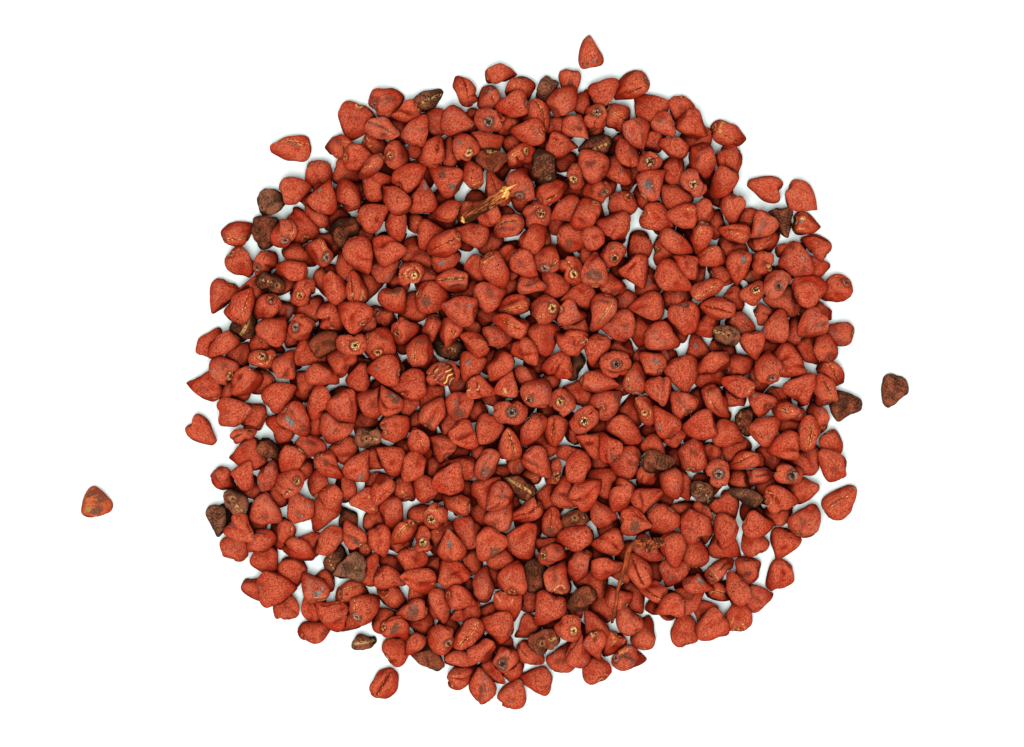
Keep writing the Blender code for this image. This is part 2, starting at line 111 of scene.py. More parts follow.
class Kind(Enum):
    """The kinds of seed, in the order in which the heap draws them."""

    BROAD = Habit(0.20, 0.88, 0.67, 0.10, (0.00, 0.12), (0.00, 0.06), (1, 2), (1, 3), (0.0, 0.2))
    SLENDER = Habit(0.18, 0.78, 0.67, 0.12, (0.00, 0.15), (0.00, 0.06), (1, 2), (1, 3), (0.0, 0.3))
    DIMPLED = Habit(0.20, 0.86, 0.64, 0.12, (0.00, 0.12), (0.00, 0.10), (2, 4), (1, 3), (0.0, 0.3))
    NOTCHED = Habit(0.18, 0.87, 0.66, 0.10, (0.05, 0.24), (0.05, 0.30), (1, 2), (1, 3), (0.0, 0.2))
    BENT = Habit(0.17, 0.81, 0.62, 0.38, (0.04, 0.20), (0.00, 0.12), (1, 3), (2, 4), (0.3, 1.0))
    BROWN = Habit(0.07, 0.85, 0.56, 0.18, (0.05, 0.20), (0.05, 0.25), (3, 5), (2, 4), (0.1, 0.5))

    @property
    def piece(self) -> str:
        """The name of the piece that holds this kind's seeds."""
        return f"seeds_{self.name.lower()}"


@dataclass(frozen=True)
class Lie:
    """How a seed lies: the lift of its tip and its roll in degrees, and how far each may stray."""

    share: float
    lift: float
    roll: float
    lift_spread: float
    roll_spread: float


LIES = (
    Lie(0.25, 0, 0, 9, 10),
    Lie(0.20, 0, 180, 9, 10),
    Lie(0.13, 0, 90, 10, 14),
    Lie(0.15, 0, -90, 10, 14),
    Lie(0.17, -62, 90, 14, 40),
    Lie(0.10, -25, 30, 14, 40),
)


@dataclass(frozen=True)
class Patch:
    """An oval patch on a seed: its place as shares of the half length and half breadth, on the upper
    side (1) or the lower side (-1), and how far it reaches along and across, in millimetres.
    """

    x: float
    y: float
    side: float
    along: float
    across: float

    def strength(self, points: np.ndarray, half: np.ndarray) -> np.ndarray:
        """From 1 at the patch's middle to 0 at its rim.

        Args:
            points: a seed's skin.
            half: its half sizes.

        Returns:
            The strength at each point.
        """
        apart = np.linalg.norm(points[:, :2] - half[:2] * (self.x, self.y), axis=1)
        spot = points[np.argmin(np.where(points[:, 2] * self.side > 0, apart, np.inf))]
        away = (points - spot) / (self.along, self.across, self.across)
        return np.clip(1 - np.linalg.norm(away, axis=1), 0, 1)


def spots(reach: float, *places: Pair) -> tuple[Patch, ...]:
    """Small round patches on a seed's upper side."""
    return tuple(Patch(x, y, 1, reach, reach) for x, y in places)


@dataclass(frozen=True)
class Stray:
    """A seed beside the heap: where and how it lies, its size, and what sets its look apart."""

    x: float
    y: float
    bearing: float
    length: float
    breadth: float
    thickness: float
    taper: float
    roll: float
    kind: Kind
    draw: int
    tone: float
    wear: float
    notch: float = 0.0
    groove: float = 0.0
    groove_turn: float = 0.0
    beak: float = 0.0
    hook: float = 0.0
    stained: tuple[Patch, ...] = ()
    bared: tuple[Patch, ...] = ()


STRAYS = (
    Stray(
        9.1, 45.6, 103, 4.9, 3.5, 3.0, 0.62, 12, Kind.DIMPLED, 227, 0.65, 0.5, hook=-0.40,
        stained=spots(0.42, (-0.63, -0.47), (-0.58, 0.47), (-0.55, 0.80), (-0.78, 0.25), (-0.62, -0.81)),
        bared=spots(0.30, (-0.47, -0.19), (0.85, -0.05)),
    ),
    Stray(
        -32.7, 32.3, 178, 5.7, 3.8, 3.2, 0.60, 20, Kind.SLENDER, 112, 0.70, 0.5,
        groove=0.05, groove_turn=105, bared=(Patch(-0.15, -0.05, 1, 1.0, 0.35),),
    ),
    Stray(
        33.8, 26.8, 168, 5.1, 4.1, 3.0, 0.60, 10, Kind.NOTCHED, 65, 0.75, 0.4,
        notch=0.50, bared=(Patch(-0.90, 0.70, 1, 0.4, 0.5),),
    ),
    Stray(51.7, -1.6, 238, 4.8, 4.0, 2.7, 0.45, 0, Kind.BROWN, 12, 0.60, 0.5, hook=0.40),
    Stray(-45.3, -7.5, -38, 4.9, 3.9, 3.0, 0.60, 8, Kind.NOTCHED, 65, 0.55, 0.5, notch=0.50),
    Stray(
        44.4, -17.2, 43, 5.6, 4.2, 3.2, 0.55, 0, Kind.BROAD, 242, 0.65, 0.6,
        groove=0.05, groove_turn=75, beak=-0.05, bared=(Patch(-0.35, 0.15, 1, 0.5, 0.25),),
    ),
    Stray(
        -60.2, -17.4, 112, 4.5, 4.5, 3.0, 0.42, 10, Kind.BROAD, 69, -1.0, 0.6, hook=-0.40,
        stained=(
            Patch(0.62, -0.15, 1, 0.7, 2.1), Patch(0.08, -0.50, 1, 1.1, 2.2),
            Patch(-0.50, 0.05, 1, 0.9, 1.6),
        ),
        bared=spots(0.65, (-0.18, 0.58)),
    ),
    Stray(
        -19.6, -42.7, 52, 4.6, 4.0, 3.2, 0.25, 35, Kind.BENT, 203, 0.25, 0.4,
        groove=0.40, groove_turn=50, beak=-0.10,
    ),
)


# Where the heap's shrivelled brown seeds lie.
BROWN_PLACES = (
    (1.4, -29.9), (-26.5, 6.1), (-36.0, -8.2), (-3.6, 30.3), (-12.3, 2.8), (2.7, 31.8),
    (-24.2, -24.2), (-34.6, 24.3), (-20.9, -10.1), (-26.9, -28.1), (-39.8, -15.7), (4.4, 40.7),
    (10.1, 32.2), (-23.6, -20.1), (37.4, 21.1), (0.3, -14.7), (-26.8, 19.3), (5.3, 2.3),
    (2.2, -36.1), (7.9, -32.0), (-15.8, 39.4), (-36.3, 19.4), (-35.4, 14.9), (-37.3, 7.8),
    (-44.5, -21.2), (-22.3, -36.6), (-13.9, -40.1), (45.6, -3.0), (28.8, 6.8), (30.2, -5.8),
    (30.9, -17.0), (7.1, -19.8), (17.6, -12.1), (24.6, -13.5),
)


def eased(value: Any, start: float, end: float) -> Any:
    """Rises smoothly from 0 to 1 as a number or an array of numbers goes from start to end."""
    share = np.clip((value - start) / (end - start), 0, 1)
    return share * share * (3 - 2 * share)


def bell(value: Any, width: float) -> Any:
    """A bell's height over a number or an array of numbers: 1 at 0, and little past the width."""
    return np.exp(-((value / width) ** 2))


def bearings(count: int) -> np.ndarray:
    """Even bearings round a full turn."""
    return tau * np.arange(count) / count


def unit(way: np.ndarray) -> np.ndarray:
    """The direction of a vector."""
    return way / np.linalg.norm(way)


def widest(taper: float) -> float:
    """The greatest of sqrt(1 - x x) (1 - taper x), which keeps a tapered seed to its stated size."""
    x = (1 - sqrt(1 + 8 * taper * taper)) / (4 * taper)
    return sqrt(1 - x * x) * (1 - taper * x)


def turned(turn: Any, lift: Any, roll: Any) -> np.ndarray:
    """The matrix of a roll about X, then a lift of +X, then a turn about Z.

    Args:
        turn: the bearing of +X, in radians, or an array of them.
        lift: how far +X is lifted, in radians.
        roll: the roll about X, in radians.

    Returns:
        A three by three matrix, or a stack of them.
    """
    ct, st, cl, sl, cr, sr = (f(a) for a in (turn, lift, roll) for f in (np.cos, np.sin))
    rows = [
        [ct * cl, -ct * sl * sr - st * cr, -ct * sl * cr + st * sr],
        [st * cl, -st * sl * sr + ct * cr, -st * sl * cr - ct * sr],
        [sl, cl * sr, cl * cr],
    ]
    return np.moveaxis(np.array(rows), (0, 1), (-2, -1))


def even_ways(count: int) -> np.ndarray:
    """Unit directions spread evenly, from +X to -X."""
    step = np.arange(count) + 0.5
    x = 1 - 2 * step / count
    ring = np.sqrt(1 - x * x)
    return np.stack([x, ring * np.cos(step * GOLDEN_ANGLE), ring * np.sin(step * GOLDEN_ANGLE)], axis=1)


def rim_at(bearing: np.ndarray) -> np.ndarray:
    """The heap's reach at bearings in radians, eased between the stated ones.

    Args:
        bearing: the bearings.

    Returns:
        The reach at each of them.
    """
    place = bearing / tau * len(RIM) % len(RIM)
    first = np.floor(place).astype(int)
    share = eased(place - first, 0, 1)
    reach = np.array(RIM)
    return reach[first] * (1 - share) + reach[(first + 1) % len(RIM)] * share


@dataclass(frozen=True)
class Form:
    """One seed's size and main shape: a rounded, blunt wedge."""

    length: float
    breadth: float
    thickness: float
    taper: float
    wedge: float
    bend: float
    skew: float

    @property
    def half(self) -> np.ndarray:
        """Half its length, breadth and thickness."""
        return np.array([self.length, self.breadth, self.thickness]) / 2

    def points(self, ways: np.ndarray) -> np.ndarray:
        """Where unit directions from the seed's middle meet its skin.

        Args:
            ways: the directions, one a row.

        Returns:
            The points, in the seed's own axes.
        """
        x, y, z = ways.T
        broad = y * (1 - self.taper * x) / widest(self.taper)
        thick = z * (1 - self.wedge * x) / widest(self.wedge)
        return np.stack(
            [
                self.length / 2 * x,
                self.breadth / 2 * broad * (1 - self.skew * z) + self.bend * (x * x - 1 / 3),
                self.thickness / 2 * thick,
            ],
            axis=1,
        )


@dataclass(frozen=True)
class Place:
    """Where a seed's middle is and how it is turned, in radians."""

    x: float
    y: float
    z: float
    turn: float
    lift: float
    roll: float

    def matrix(self) -> np.ndarray:
        """The seed's own axes as columns."""
        return turned(self.turn, self.lift, self.roll)

    def middle(self) -> np.ndarray:
        """The seed's middle."""
        return np.array([self.x, self.y, self.z])


@dataclass(frozen=True)
class Laid:
    """A seed that lies on the bed."""

    form: Form
    place: Place
    kind: Kind


@dataclass
class Bed:
    """The surface that seeds are dropped on, and the seeds laid on it so far."""

    cell_size: float = 0.16
    half_bed: float = 68.0
    test_points: int = 170
    laid_points: int = 1400
    tries: int = 50
    rounds: int = 5
    first_reach: float = 2.6
    round_shrink: float = 0.55
    turn_step: float = 0.5
    tilt_step: float = 0.3
    outside_cost: float = 2.0
    stray_clearance: float = 5.6
    gap: float = 0.02
    sky_bearings: int = 10
    near_reaches: tuple[float, ...] = (0.3, 0.55, 0.85)
    far_reaches: tuple[float, ...] = (1.3, 2.0, 3.0, 4.2)

    def __post_init__(self) -> None:
        """Starts with a bare floor."""
        cells = round(2 * self.half_bed / self.cell_size)
        self.height = np.zeros((cells, cells))
        self.top = np.full((cells, cells), -1)
        self.seeds: list[Laid] = []
        self.test_ways = even_ways(self.test_points)
        self.laid_ways = even_ways(self.laid_points)

    def cell(self, x: np.ndarray, y: np.ndarray) -> tuple[np.ndarray, np.ndarray]:
        """The row and column of the cell at each place."""
        row = ((x + self.half_bed) / self.cell_size).astype(int)
        return row, ((y + self.half_bed) / self.cell_size).astype(int)

    def rest_height(self, points: np.ndarray, x: np.ndarray, y: np.ndarray) -> np.ndarray:
        """How high the middles at (x, y) of turned seeds come when the skins touch what is below."""
        row, column = self.cell(points[..., 0] + x[:, None], points[..., 1] + y[:, None])
        return (self.height[row, column] - points[..., 2]).max(axis=1)

    def lay(self, seed: Laid) -> None:
        """Adds a seed, and raises the bed to its upper side."""
        points = seed.form.points(self.laid_ways) @ seed.place.matrix().T + seed.place.middle()
        row, column = self.cell(points[:, 0], points[:, 1])
        np.maximum.at(self.height, (row, column), points[:, 2])
        upper = points[:, 2] >= self.height[row, column] - self.cell_size
        self.top[row[upper], column[upper]] = len(self.seeds)
        self.seeds.append(seed)

    def settle(
        self, form: Form, lie: Lie, x: float, y: float, inset: float, pull: float, draw: Generator
    ) -> Place:
        """Finds the seed's lowest place near (x, y), in rounds of ever smaller random moves.

        Args:
            form: the seed's size and shape.
            lie: how it should lie.
            x: where it is dropped.
            y: where it is dropped.
            inset: how far inside the outline its middle stays.
            pull: how strongly it keeps to where it is dropped.
            draw: the source of random numbers.

        Returns:
            The seed's place.
        """

        def about(middle: float, spread: float) -> np.ndarray:
            """A random value near the middle for each try."""
            return middle + draw.normal(0, spread, self.tries)

        lift, roll, lift_spread, roll_spread = np.radians(
            [lie.lift, lie.roll, lie.lift_spread, lie.roll_spread]
        )
        skin = form.points(self.test_ways)
        best = None
        least = np.inf
        for turn_of in range(self.rounds):
            reach = self.first_reach * self.round_shrink**turn_of
            if best is None:
                xs, ys = about(x, reach), about(y, reach)
                turns = draw.uniform(0, tau, self.tries)
                lifts, rolls = about(lift, lift_spread), about(roll, roll_spread)
            else:
                shrink = reach / self.first_reach
                xs, ys = about(best.x, reach / 2), about(best.y, reach / 2)
                turns = about(best.turn, self.turn_step * shrink)
                lifts = about(best.lift, self.tilt_step * shrink)
                rolls = about(best.roll, self.tilt_step * shrink)
                lifts = np.clip(lifts, lift - 2 * lift_spread, lift + 2 * lift_spread)
                rolls = np.clip(rolls, roll - 2 * roll_spread, roll + 2 * roll_spread)
            points = np.einsum("kij,nj->kni", turned(turns, lifts, rolls), skin)
            zs = self.rest_height(points, xs, ys)
            outside = np.hypot(xs, ys) + inset - rim_at(np.arctan2(ys, xs))
            cost = zs + pull * np.hypot(xs - x, ys - y) ** 2 + self.outside_cost * np.clip(outside, 0, None)
            for stray in STRAYS:
                near = self.stray_clearance - np.hypot(xs - stray.x, ys - stray.y)
                cost += self.outside_cost * np.clip(near, 0, None)
            cost = np.round(cost, DECIMALS)
            chosen = int(cost.argmin())
            if cost[chosen] < least:
                least = cost[chosen]
                found = (xs, ys, zs + self.gap, turns, lifts, rolls)
                best = Place(*(float(values[chosen]) for values in found))
        return best

    def shown_area(self) -> np.ndarray:
        """For each seed, how much of it shows from above, in square millimetres."""
        seen = self.top[self.top >= 0]
        return np.bincount(seen, minlength=len(self.seeds)) * self.cell_size**2

    def openness(self, points: np.ndarray) -> np.ndarray:
        """How much of the sky each point sees past what lies round it.

        Args:
            points: the points, one a row.

        Returns:
            Three shares from 0 to 1 for each point: what it sees past what is near by, what it sees
            past everything, and how high it lies between the lowest and the highest point.
        """
        shares = np.zeros((len(points), 3))
        for bearing in bearings(self.sky_bearings):
            steepest = np.zeros(len(points))
            for column_of, reaches in enumerate((self.near_reaches, self.far_reaches)):
                for reach in reaches:
                    x, y = points[:, 0] + reach * cos(bearing), points[:, 1] + reach * sin(bearing)
                    row, column = self.cell(x, y)
                    steepest = np.maximum(steepest, (self.height[row, column] - points[:, 2]) / reach)
                shares[:, column_of] += 1 / (1 + steepest**2) / self.sky_bearings
        low, high = points[:, 2].min(), points[:, 2].max()
        shares[:, 2] = (points[:, 2] - low) / (high - low)
        return shares

    def highest_near(self, x: float, y: float, reach: float) -> float:
        """The bed's greatest height within a square about (x, y).

        Args:
            x: the square's middle.
            y: the square's middle.
            reach: half the square's side.

        Returns:
            The height.
        """
        low_row, low_column = self.cell(np.array(x - reach), np.array(y - reach))
        high_row, high_column = self.cell(np.array(x + reach), np.array(y + reach))
        return float(self.height[low_row : high_row + 1, low_column : high_column + 1].max())


@dataclass(frozen=True)
class Layer:
    """A layer of the heap: its seeds, how near the rim they come and how they are dropped."""

    seeds: int
    inset: float
    spread: float
    pull: float

    def targets(self) -> list[Pair]:
        """Places spread over the heap's outline on a sunflower spiral."""
        found = []
        for step in range(self.seeds):
            bearing = step * GOLDEN_ANGLE
            reach = float(rim_at(np.array(bearing))) - self.inset
            radius = ((step + 0.5) / self.seeds) ** self.spread * reach
            found.append((radius * cos(bearing), radius * sin(bearing)))
        return found


@dataclass(frozen=True)
class Flat:
    """A plane that a seed's skin is pressed against, and its share of the skin's reach that way."""

    way: np.ndarray
    share: float


@dataclass(frozen=True)
class Dent:
    """A round hollow in a seed's skin: the way from the middle, its radius and its depth."""

    way: np.ndarray
    radius: float
    depth: float


@dataclass(frozen=True)
class Crease:
    """A valley in a seed's skin: the way its face looks, the way across it, and its sizes."""

    face: np.ndarray
    across: np.ndarray
    shift: float
    width: float
    depth: float
    wander: float = 0.0
    phase: float = 0.0


@dataclass(frozen=True)
class Traits:
    """One seed's fine form, wear and colour.

    The swells are waves over the skin: how fast each goes along each axis, and its phase.
    """

    flats: tuple[Flat, ...]
    hardness: float
    dents: tuple[Dent, ...]
    creases: tuple[Crease, ...]
    groove: Crease
    notch: Crease
    swells: np.ndarray
    beak: float
    hook: float
    twist: float
    wrinkles: float
    tone: float
    wear: float
    dots: float
    stained: tuple[Patch, ...]
    bared: tuple[Patch, ...]
    offset: np.ndarray


@dataclass(frozen=True)
class TraitMaker:
    """Draws the fine form of seeds, apart from their places so that the layout stays as it is."""

    tilt: float = 0.20
    face_share: Pair = (0.72, 0.90)
    flank_angle: Pair = (54.0, 70.0)
    flank_share: Pair = (0.78, 0.94)
    back_share: Pair = (0.90, 0.99)
    tip_share: Pair = (0.84, 0.98)
    odd_share: Pair = (0.74, 0.92)
    odd_flats: int = 3
    hardness: Pair = (10.0, 30.0)
    beak: Pair = (-0.06, 0.26)
    swell_count: int = 5
    swell_speed: float = 1.45
    dent_radius: Pair = (1.1, 2.4)
    dent_depth: Pair = (0.12, 0.50)
    crease_width: Pair = (0.24, 0.50)
    crease_depth: Pair = (0.10, 0.40)
    groove_width: float = 0.23
    notch_width: float = 0.55
    wander: float = 0.16
    crease_wander: float = 0.45
    most_twist: float = 0.25
    wrinkle_depth: float = 0.045
    tone: Pair = (0.5, 0.22)
    face_lean: float = -0.10
    dent_way: tuple[Triple, Triple] = ((-0.3, 0.0, 0.0), (0.6, 0.7, 1.0))
    crease_face: tuple[Pair, Pair] = ((-0.2, 0.3), (0.0, 0.5))
    crease_across: tuple[Pair, Pair] = ((0.0, 0.5), (0.0, 0.3))
    crease_shift: Pair = (-0.6, 0.6)
    patch_start: Pair = (-0.8, -0.7)
    patch_span: Pair = (1.7, 1.4)
    stained_share: float = 0.15
    stain_reach: Pair = (0.8, 1.9)
    bare_share: float = 0.26
    bare_length: Pair = (0.5, 1.7)
    bare_breadth: Pair = (0.25, 0.70)
    offset_reach: float = 400.0

    def draw(self, kind: Kind, draw: Generator) -> Traits:
        """The traits of one seed.

        Args:
            kind: the seed's kind.
            draw: the source of random numbers.

        Returns:
            The traits.
        """
        habit = kind.value
        stained = self.patch(self.stained_share, self.stain_reach, self.stain_reach, draw)
        bared = self.patch(self.bare_share, self.bare_length, self.bare_breadth, draw)
        swells = draw.normal(0, self.swell_speed, (self.swell_count, 3))
        phases = draw.uniform(0, tau, self.swell_count)
        y, z = np.array([0.0, 1.0, 0.0]), np.array([0.0, 0.0, 1.0])
        wander = draw.uniform(-self.wander, self.wander)
        return Traits(
            flats=self.flats(draw),
            hardness=draw.uniform(*self.hardness),
            dents=self.dents(habit, draw),
            creases=self.creases(habit, draw),
            groove=Crease(y, z, 0.0, self.groove_width, draw.uniform(*habit.groove), wander, phases[0]),
            notch=Crease(-np.eye(3)[0], y, 0.0, self.notch_width, draw.uniform(*habit.notch)),
            swells=np.column_stack([swells, phases]),
            beak=draw.uniform(*self.beak),
            hook=draw.uniform(*habit.hook),
            twist=draw.uniform(-self.most_twist, self.most_twist),
            wrinkles=self.wrinkle_depth if kind is Kind.BROWN else 0.0,
            tone=float(np.clip(draw.normal(*self.tone), 0, 1)),
            wear=draw.uniform(0, 1),
            dots=draw.uniform(0, 1),
            stained=stained,
            bared=bared,
            offset=draw.uniform(-self.offset_reach, self.offset_reach, 3),
        )

    def patch(self, share: float, along: Pair, across: Pair, draw: Generator) -> tuple[Patch, ...]:
        """A patch for a share of the seeds.

        Args:
            share: the share of the seeds that have one.
            along: the least and most that it reaches along.
            across: the least and most that it reaches across.
            draw: the source of random numbers.

        Returns:
            The patch, or nothing.
        """
        chance, x, y, side, length, breadth = draw.uniform(size=6)
        if chance > share:
            return ()
        reach = (along[0] + (along[1] - along[0]) * length, across[0] + (across[1] - across[0]) * breadth)
        place = (self.patch_span[0] * x + self.patch_start[0], self.patch_span[1] * y + self.patch_start[1])
        return (Patch(*place, 1.0 if side > 0.5 else -1.0, *reach),)

    def flats(self, draw: Generator) -> tuple[Flat, ...]:
        """The planes that flatten a seed: faces, flanks, broad end, tip and a few odd ones.

        Args:
            draw: the source of random numbers.

        Returns:
            The planes.
        """
        tilt = self.tilt
        angles = np.radians(draw.uniform(*self.flank_angle, 2))
        ways = [
            *(
                ((draw.normal(self.face_lean, tilt), draw.normal(0, tilt), side), self.face_share)
                for side in (-1.0, 1.0)
            ),
            ((cos(angles[0]), -sin(angles[0]), draw.normal(0, tilt)), self.flank_share),
            ((cos(angles[1]), sin(angles[1]), draw.normal(0, tilt)), self.flank_share),
            ((-1.0, draw.normal(0, tilt), draw.normal(0, tilt)), self.back_share),
            ((1.0, draw.normal(0, 2 * tilt), draw.normal(0, 2 * tilt)), self.tip_share),
            *((draw.normal(0, 1, 3), self.odd_share) for _ in range(self.odd_flats)),
        ]
        return tuple(Flat(unit(np.array(way)), draw.uniform(*share)) for way, share in ways)

    def dents(self, habit: Habit, draw: Generator) -> tuple[Dent, ...]:
        """The dents in a seed's faces and flanks, most of them in its faces.

        Args:
            habit: the habit of the seed's kind.
            draw: the source of random numbers.

        Returns:
            The dents.
        """
        found = []
        for _ in range(draw.integers(habit.dents[0], habit.dents[1] + 1)):
            way = unit(draw.normal(*self.dent_way))
            found.append(Dent(way, draw.uniform(*self.dent_radius), draw.uniform(*self.dent_depth)))
        return tuple(found)

    def creases(self, habit: Habit, draw: Generator) -> tuple[Crease, ...]:
        """The creases in a seed's faces, most of them lengthwise.

        Args:
            habit: the habit of the seed's kind.
            draw: the source of random numbers.

        Returns:
            The creases.
        """
        found = []
        for _ in range(draw.integers(habit.creases[0], habit.creases[1] + 1)):
            lean = [draw.normal(*bounds) for bounds in self.crease_face]
            face = unit(np.array([*lean, draw.choice((-1.0, 1.0))]))
            across = unit(np.cross(face, (1.0, *(draw.normal(*bounds) for bounds in self.crease_across))))
            ranges = (self.crease_shift, self.crease_width, self.crease_depth)
            sizes = [draw.uniform(*bounds) for bounds in ranges]
            wander = draw.uniform(-self.crease_wander, self.crease_wander)
            found.append(Crease(face, across, *sizes, wander, draw.uniform(0, tau)))
        return tuple(found)


@dataclass(frozen=True)
class SkinGrid:
    """The rings and columns of a seed's skin, closer together at the scar and at the groove."""

    rings: int
    columns: int
    ring_crowding: float = 0.22
    column_crowding: float = 0.62
    crowded_side: float = 0.0
    even_curl: float = 1.05
    most_curl: float = 3.0
    least_out: float = 1e-9
    least_reach: float = 1e-6

    def ways(self) -> np.ndarray:
        """Directions on the tip, on each ring and on the scar."""
        share = np.arange(1, self.rings + 1) / (self.rings + 1)
        polar = pi * share + self.ring_crowding * np.sin(pi * share)
        around = bearings(self.columns)
        around = around - self.column_crowding * np.sin(around - self.crowded_side)
        x = np.repeat(np.cos(polar), self.columns)
        ring = np.repeat(np.sin(polar), self.columns)
        around = np.tile(around, self.rings)
        body = np.stack([x, ring * np.cos(around), ring * np.sin(around)], axis=1)
        return np.vstack([[(1.0, 0.0, 0.0)], body, [(-1.0, 0.0, 0.0)]])

    def hollowness(self, points: np.ndarray) -> np.ndarray:
        """How much more hollow than an even seed the skin is, which is below zero on ridges.

        Args:
            points: the skin.

        Returns:
            A number for each point.
        """
        body = points[1:-1].reshape(self.rings, self.columns, 3)
        ends = [np.broadcast_to(points[end], (1, self.columns, 3)) for end in (0, -1)]
        rows = np.concatenate([ends[0], body, ends[1]])
        left, right = np.roll(body, 1, axis=1), np.roll(body, -1, axis=1)
        out = np.cross(rows[2:] - rows[:-2], right - left)
        out /= np.linalg.norm(out, axis=2, keepdims=True) + self.least_out
        out *= np.sign((out * body).sum(axis=2, keepdims=True))
        pull = np.zeros_like(body)
        for before, after in ((rows[:-2], rows[2:]), (left, right)):
            first, second = before - body, after - body
            reach = np.linalg.norm(first, axis=2) * np.linalg.norm(second, axis=2)
            pull += (first + second) / (reach[..., None] + self.least_reach)
        curl = (pull * out).sum(axis=2)
        curl = (np.roll(curl, 1, axis=1) + 2 * curl + np.roll(curl, -1, axis=1)) / 4
        curl = np.clip(self.even_curl + curl, -self.most_curl, self.most_curl)
        return np.concatenate([[curl[0].mean()], curl.ravel(), [curl[-1].mean()]])

    def faces(self) -> Faces:
        """The skin's faces, facing out."""
        found: Faces = []
        end = 1 + self.rings * self.columns
        for column in range(self.columns):
            ahead = (column + 1) % self.columns
            found.append((0, 1 + column, 1 + ahead))
            for ring in range(self.rings - 1):
                here = 1 + ring * self.columns
                there = here + self.columns
                found.append((here + column, there + column, there + ahead, here + ahead))
            last = end - self.columns
            found.append((last + column, end, last + ahead))
        return found

    def chart(self) -> np.ndarray:
        """Where each corner of each face lies on the seed's flat chart, from 0 to 1 each way."""
        found = []
        step = 1 / (self.rings + 1)
        for column in range(self.columns):
            left, right = column / self.columns, (column + 1) / self.columns
            found += [((left + right) / 2, 0.0), (left, step), (right, step)]
            for ring in range(1, self.rings):
                low, high = ring * step, (ring + 1) * step
                found += [(left, low), (left, high), (right, high), (right, low)]
            found += [(left, 1 - step), ((left + right) / 2, 1.0), (right, 1 - step)]
        return np.array(found)


@dataclass(frozen=True)
class Skin:
    """A seed's finished skin: its points, and what the finishes read at each of them.

    Marks are the distance from the scar, the distance across from the groove and how far along
    towards the tip. Wear is how hollow, how stained and how bare the skin is; the finishes darken the
    hollows and lighten the ridges as painted shade and highlight. Draws are the seed's own tone, its
    wear and how many dots its groove has. Sky, which it gets where it lies, is how much of it is seen
    past what lies round about, near by and in all, and how high on its seed a point lies; from these
    the finishes paint shade low on each seed and between seeds, and a highlight on its top.
    """

    points: np.ndarray
    place: np.ndarray
    marks: np.ndarray
    wear: np.ndarray
    draws: np.ndarray
    sky: np.ndarray | None = None


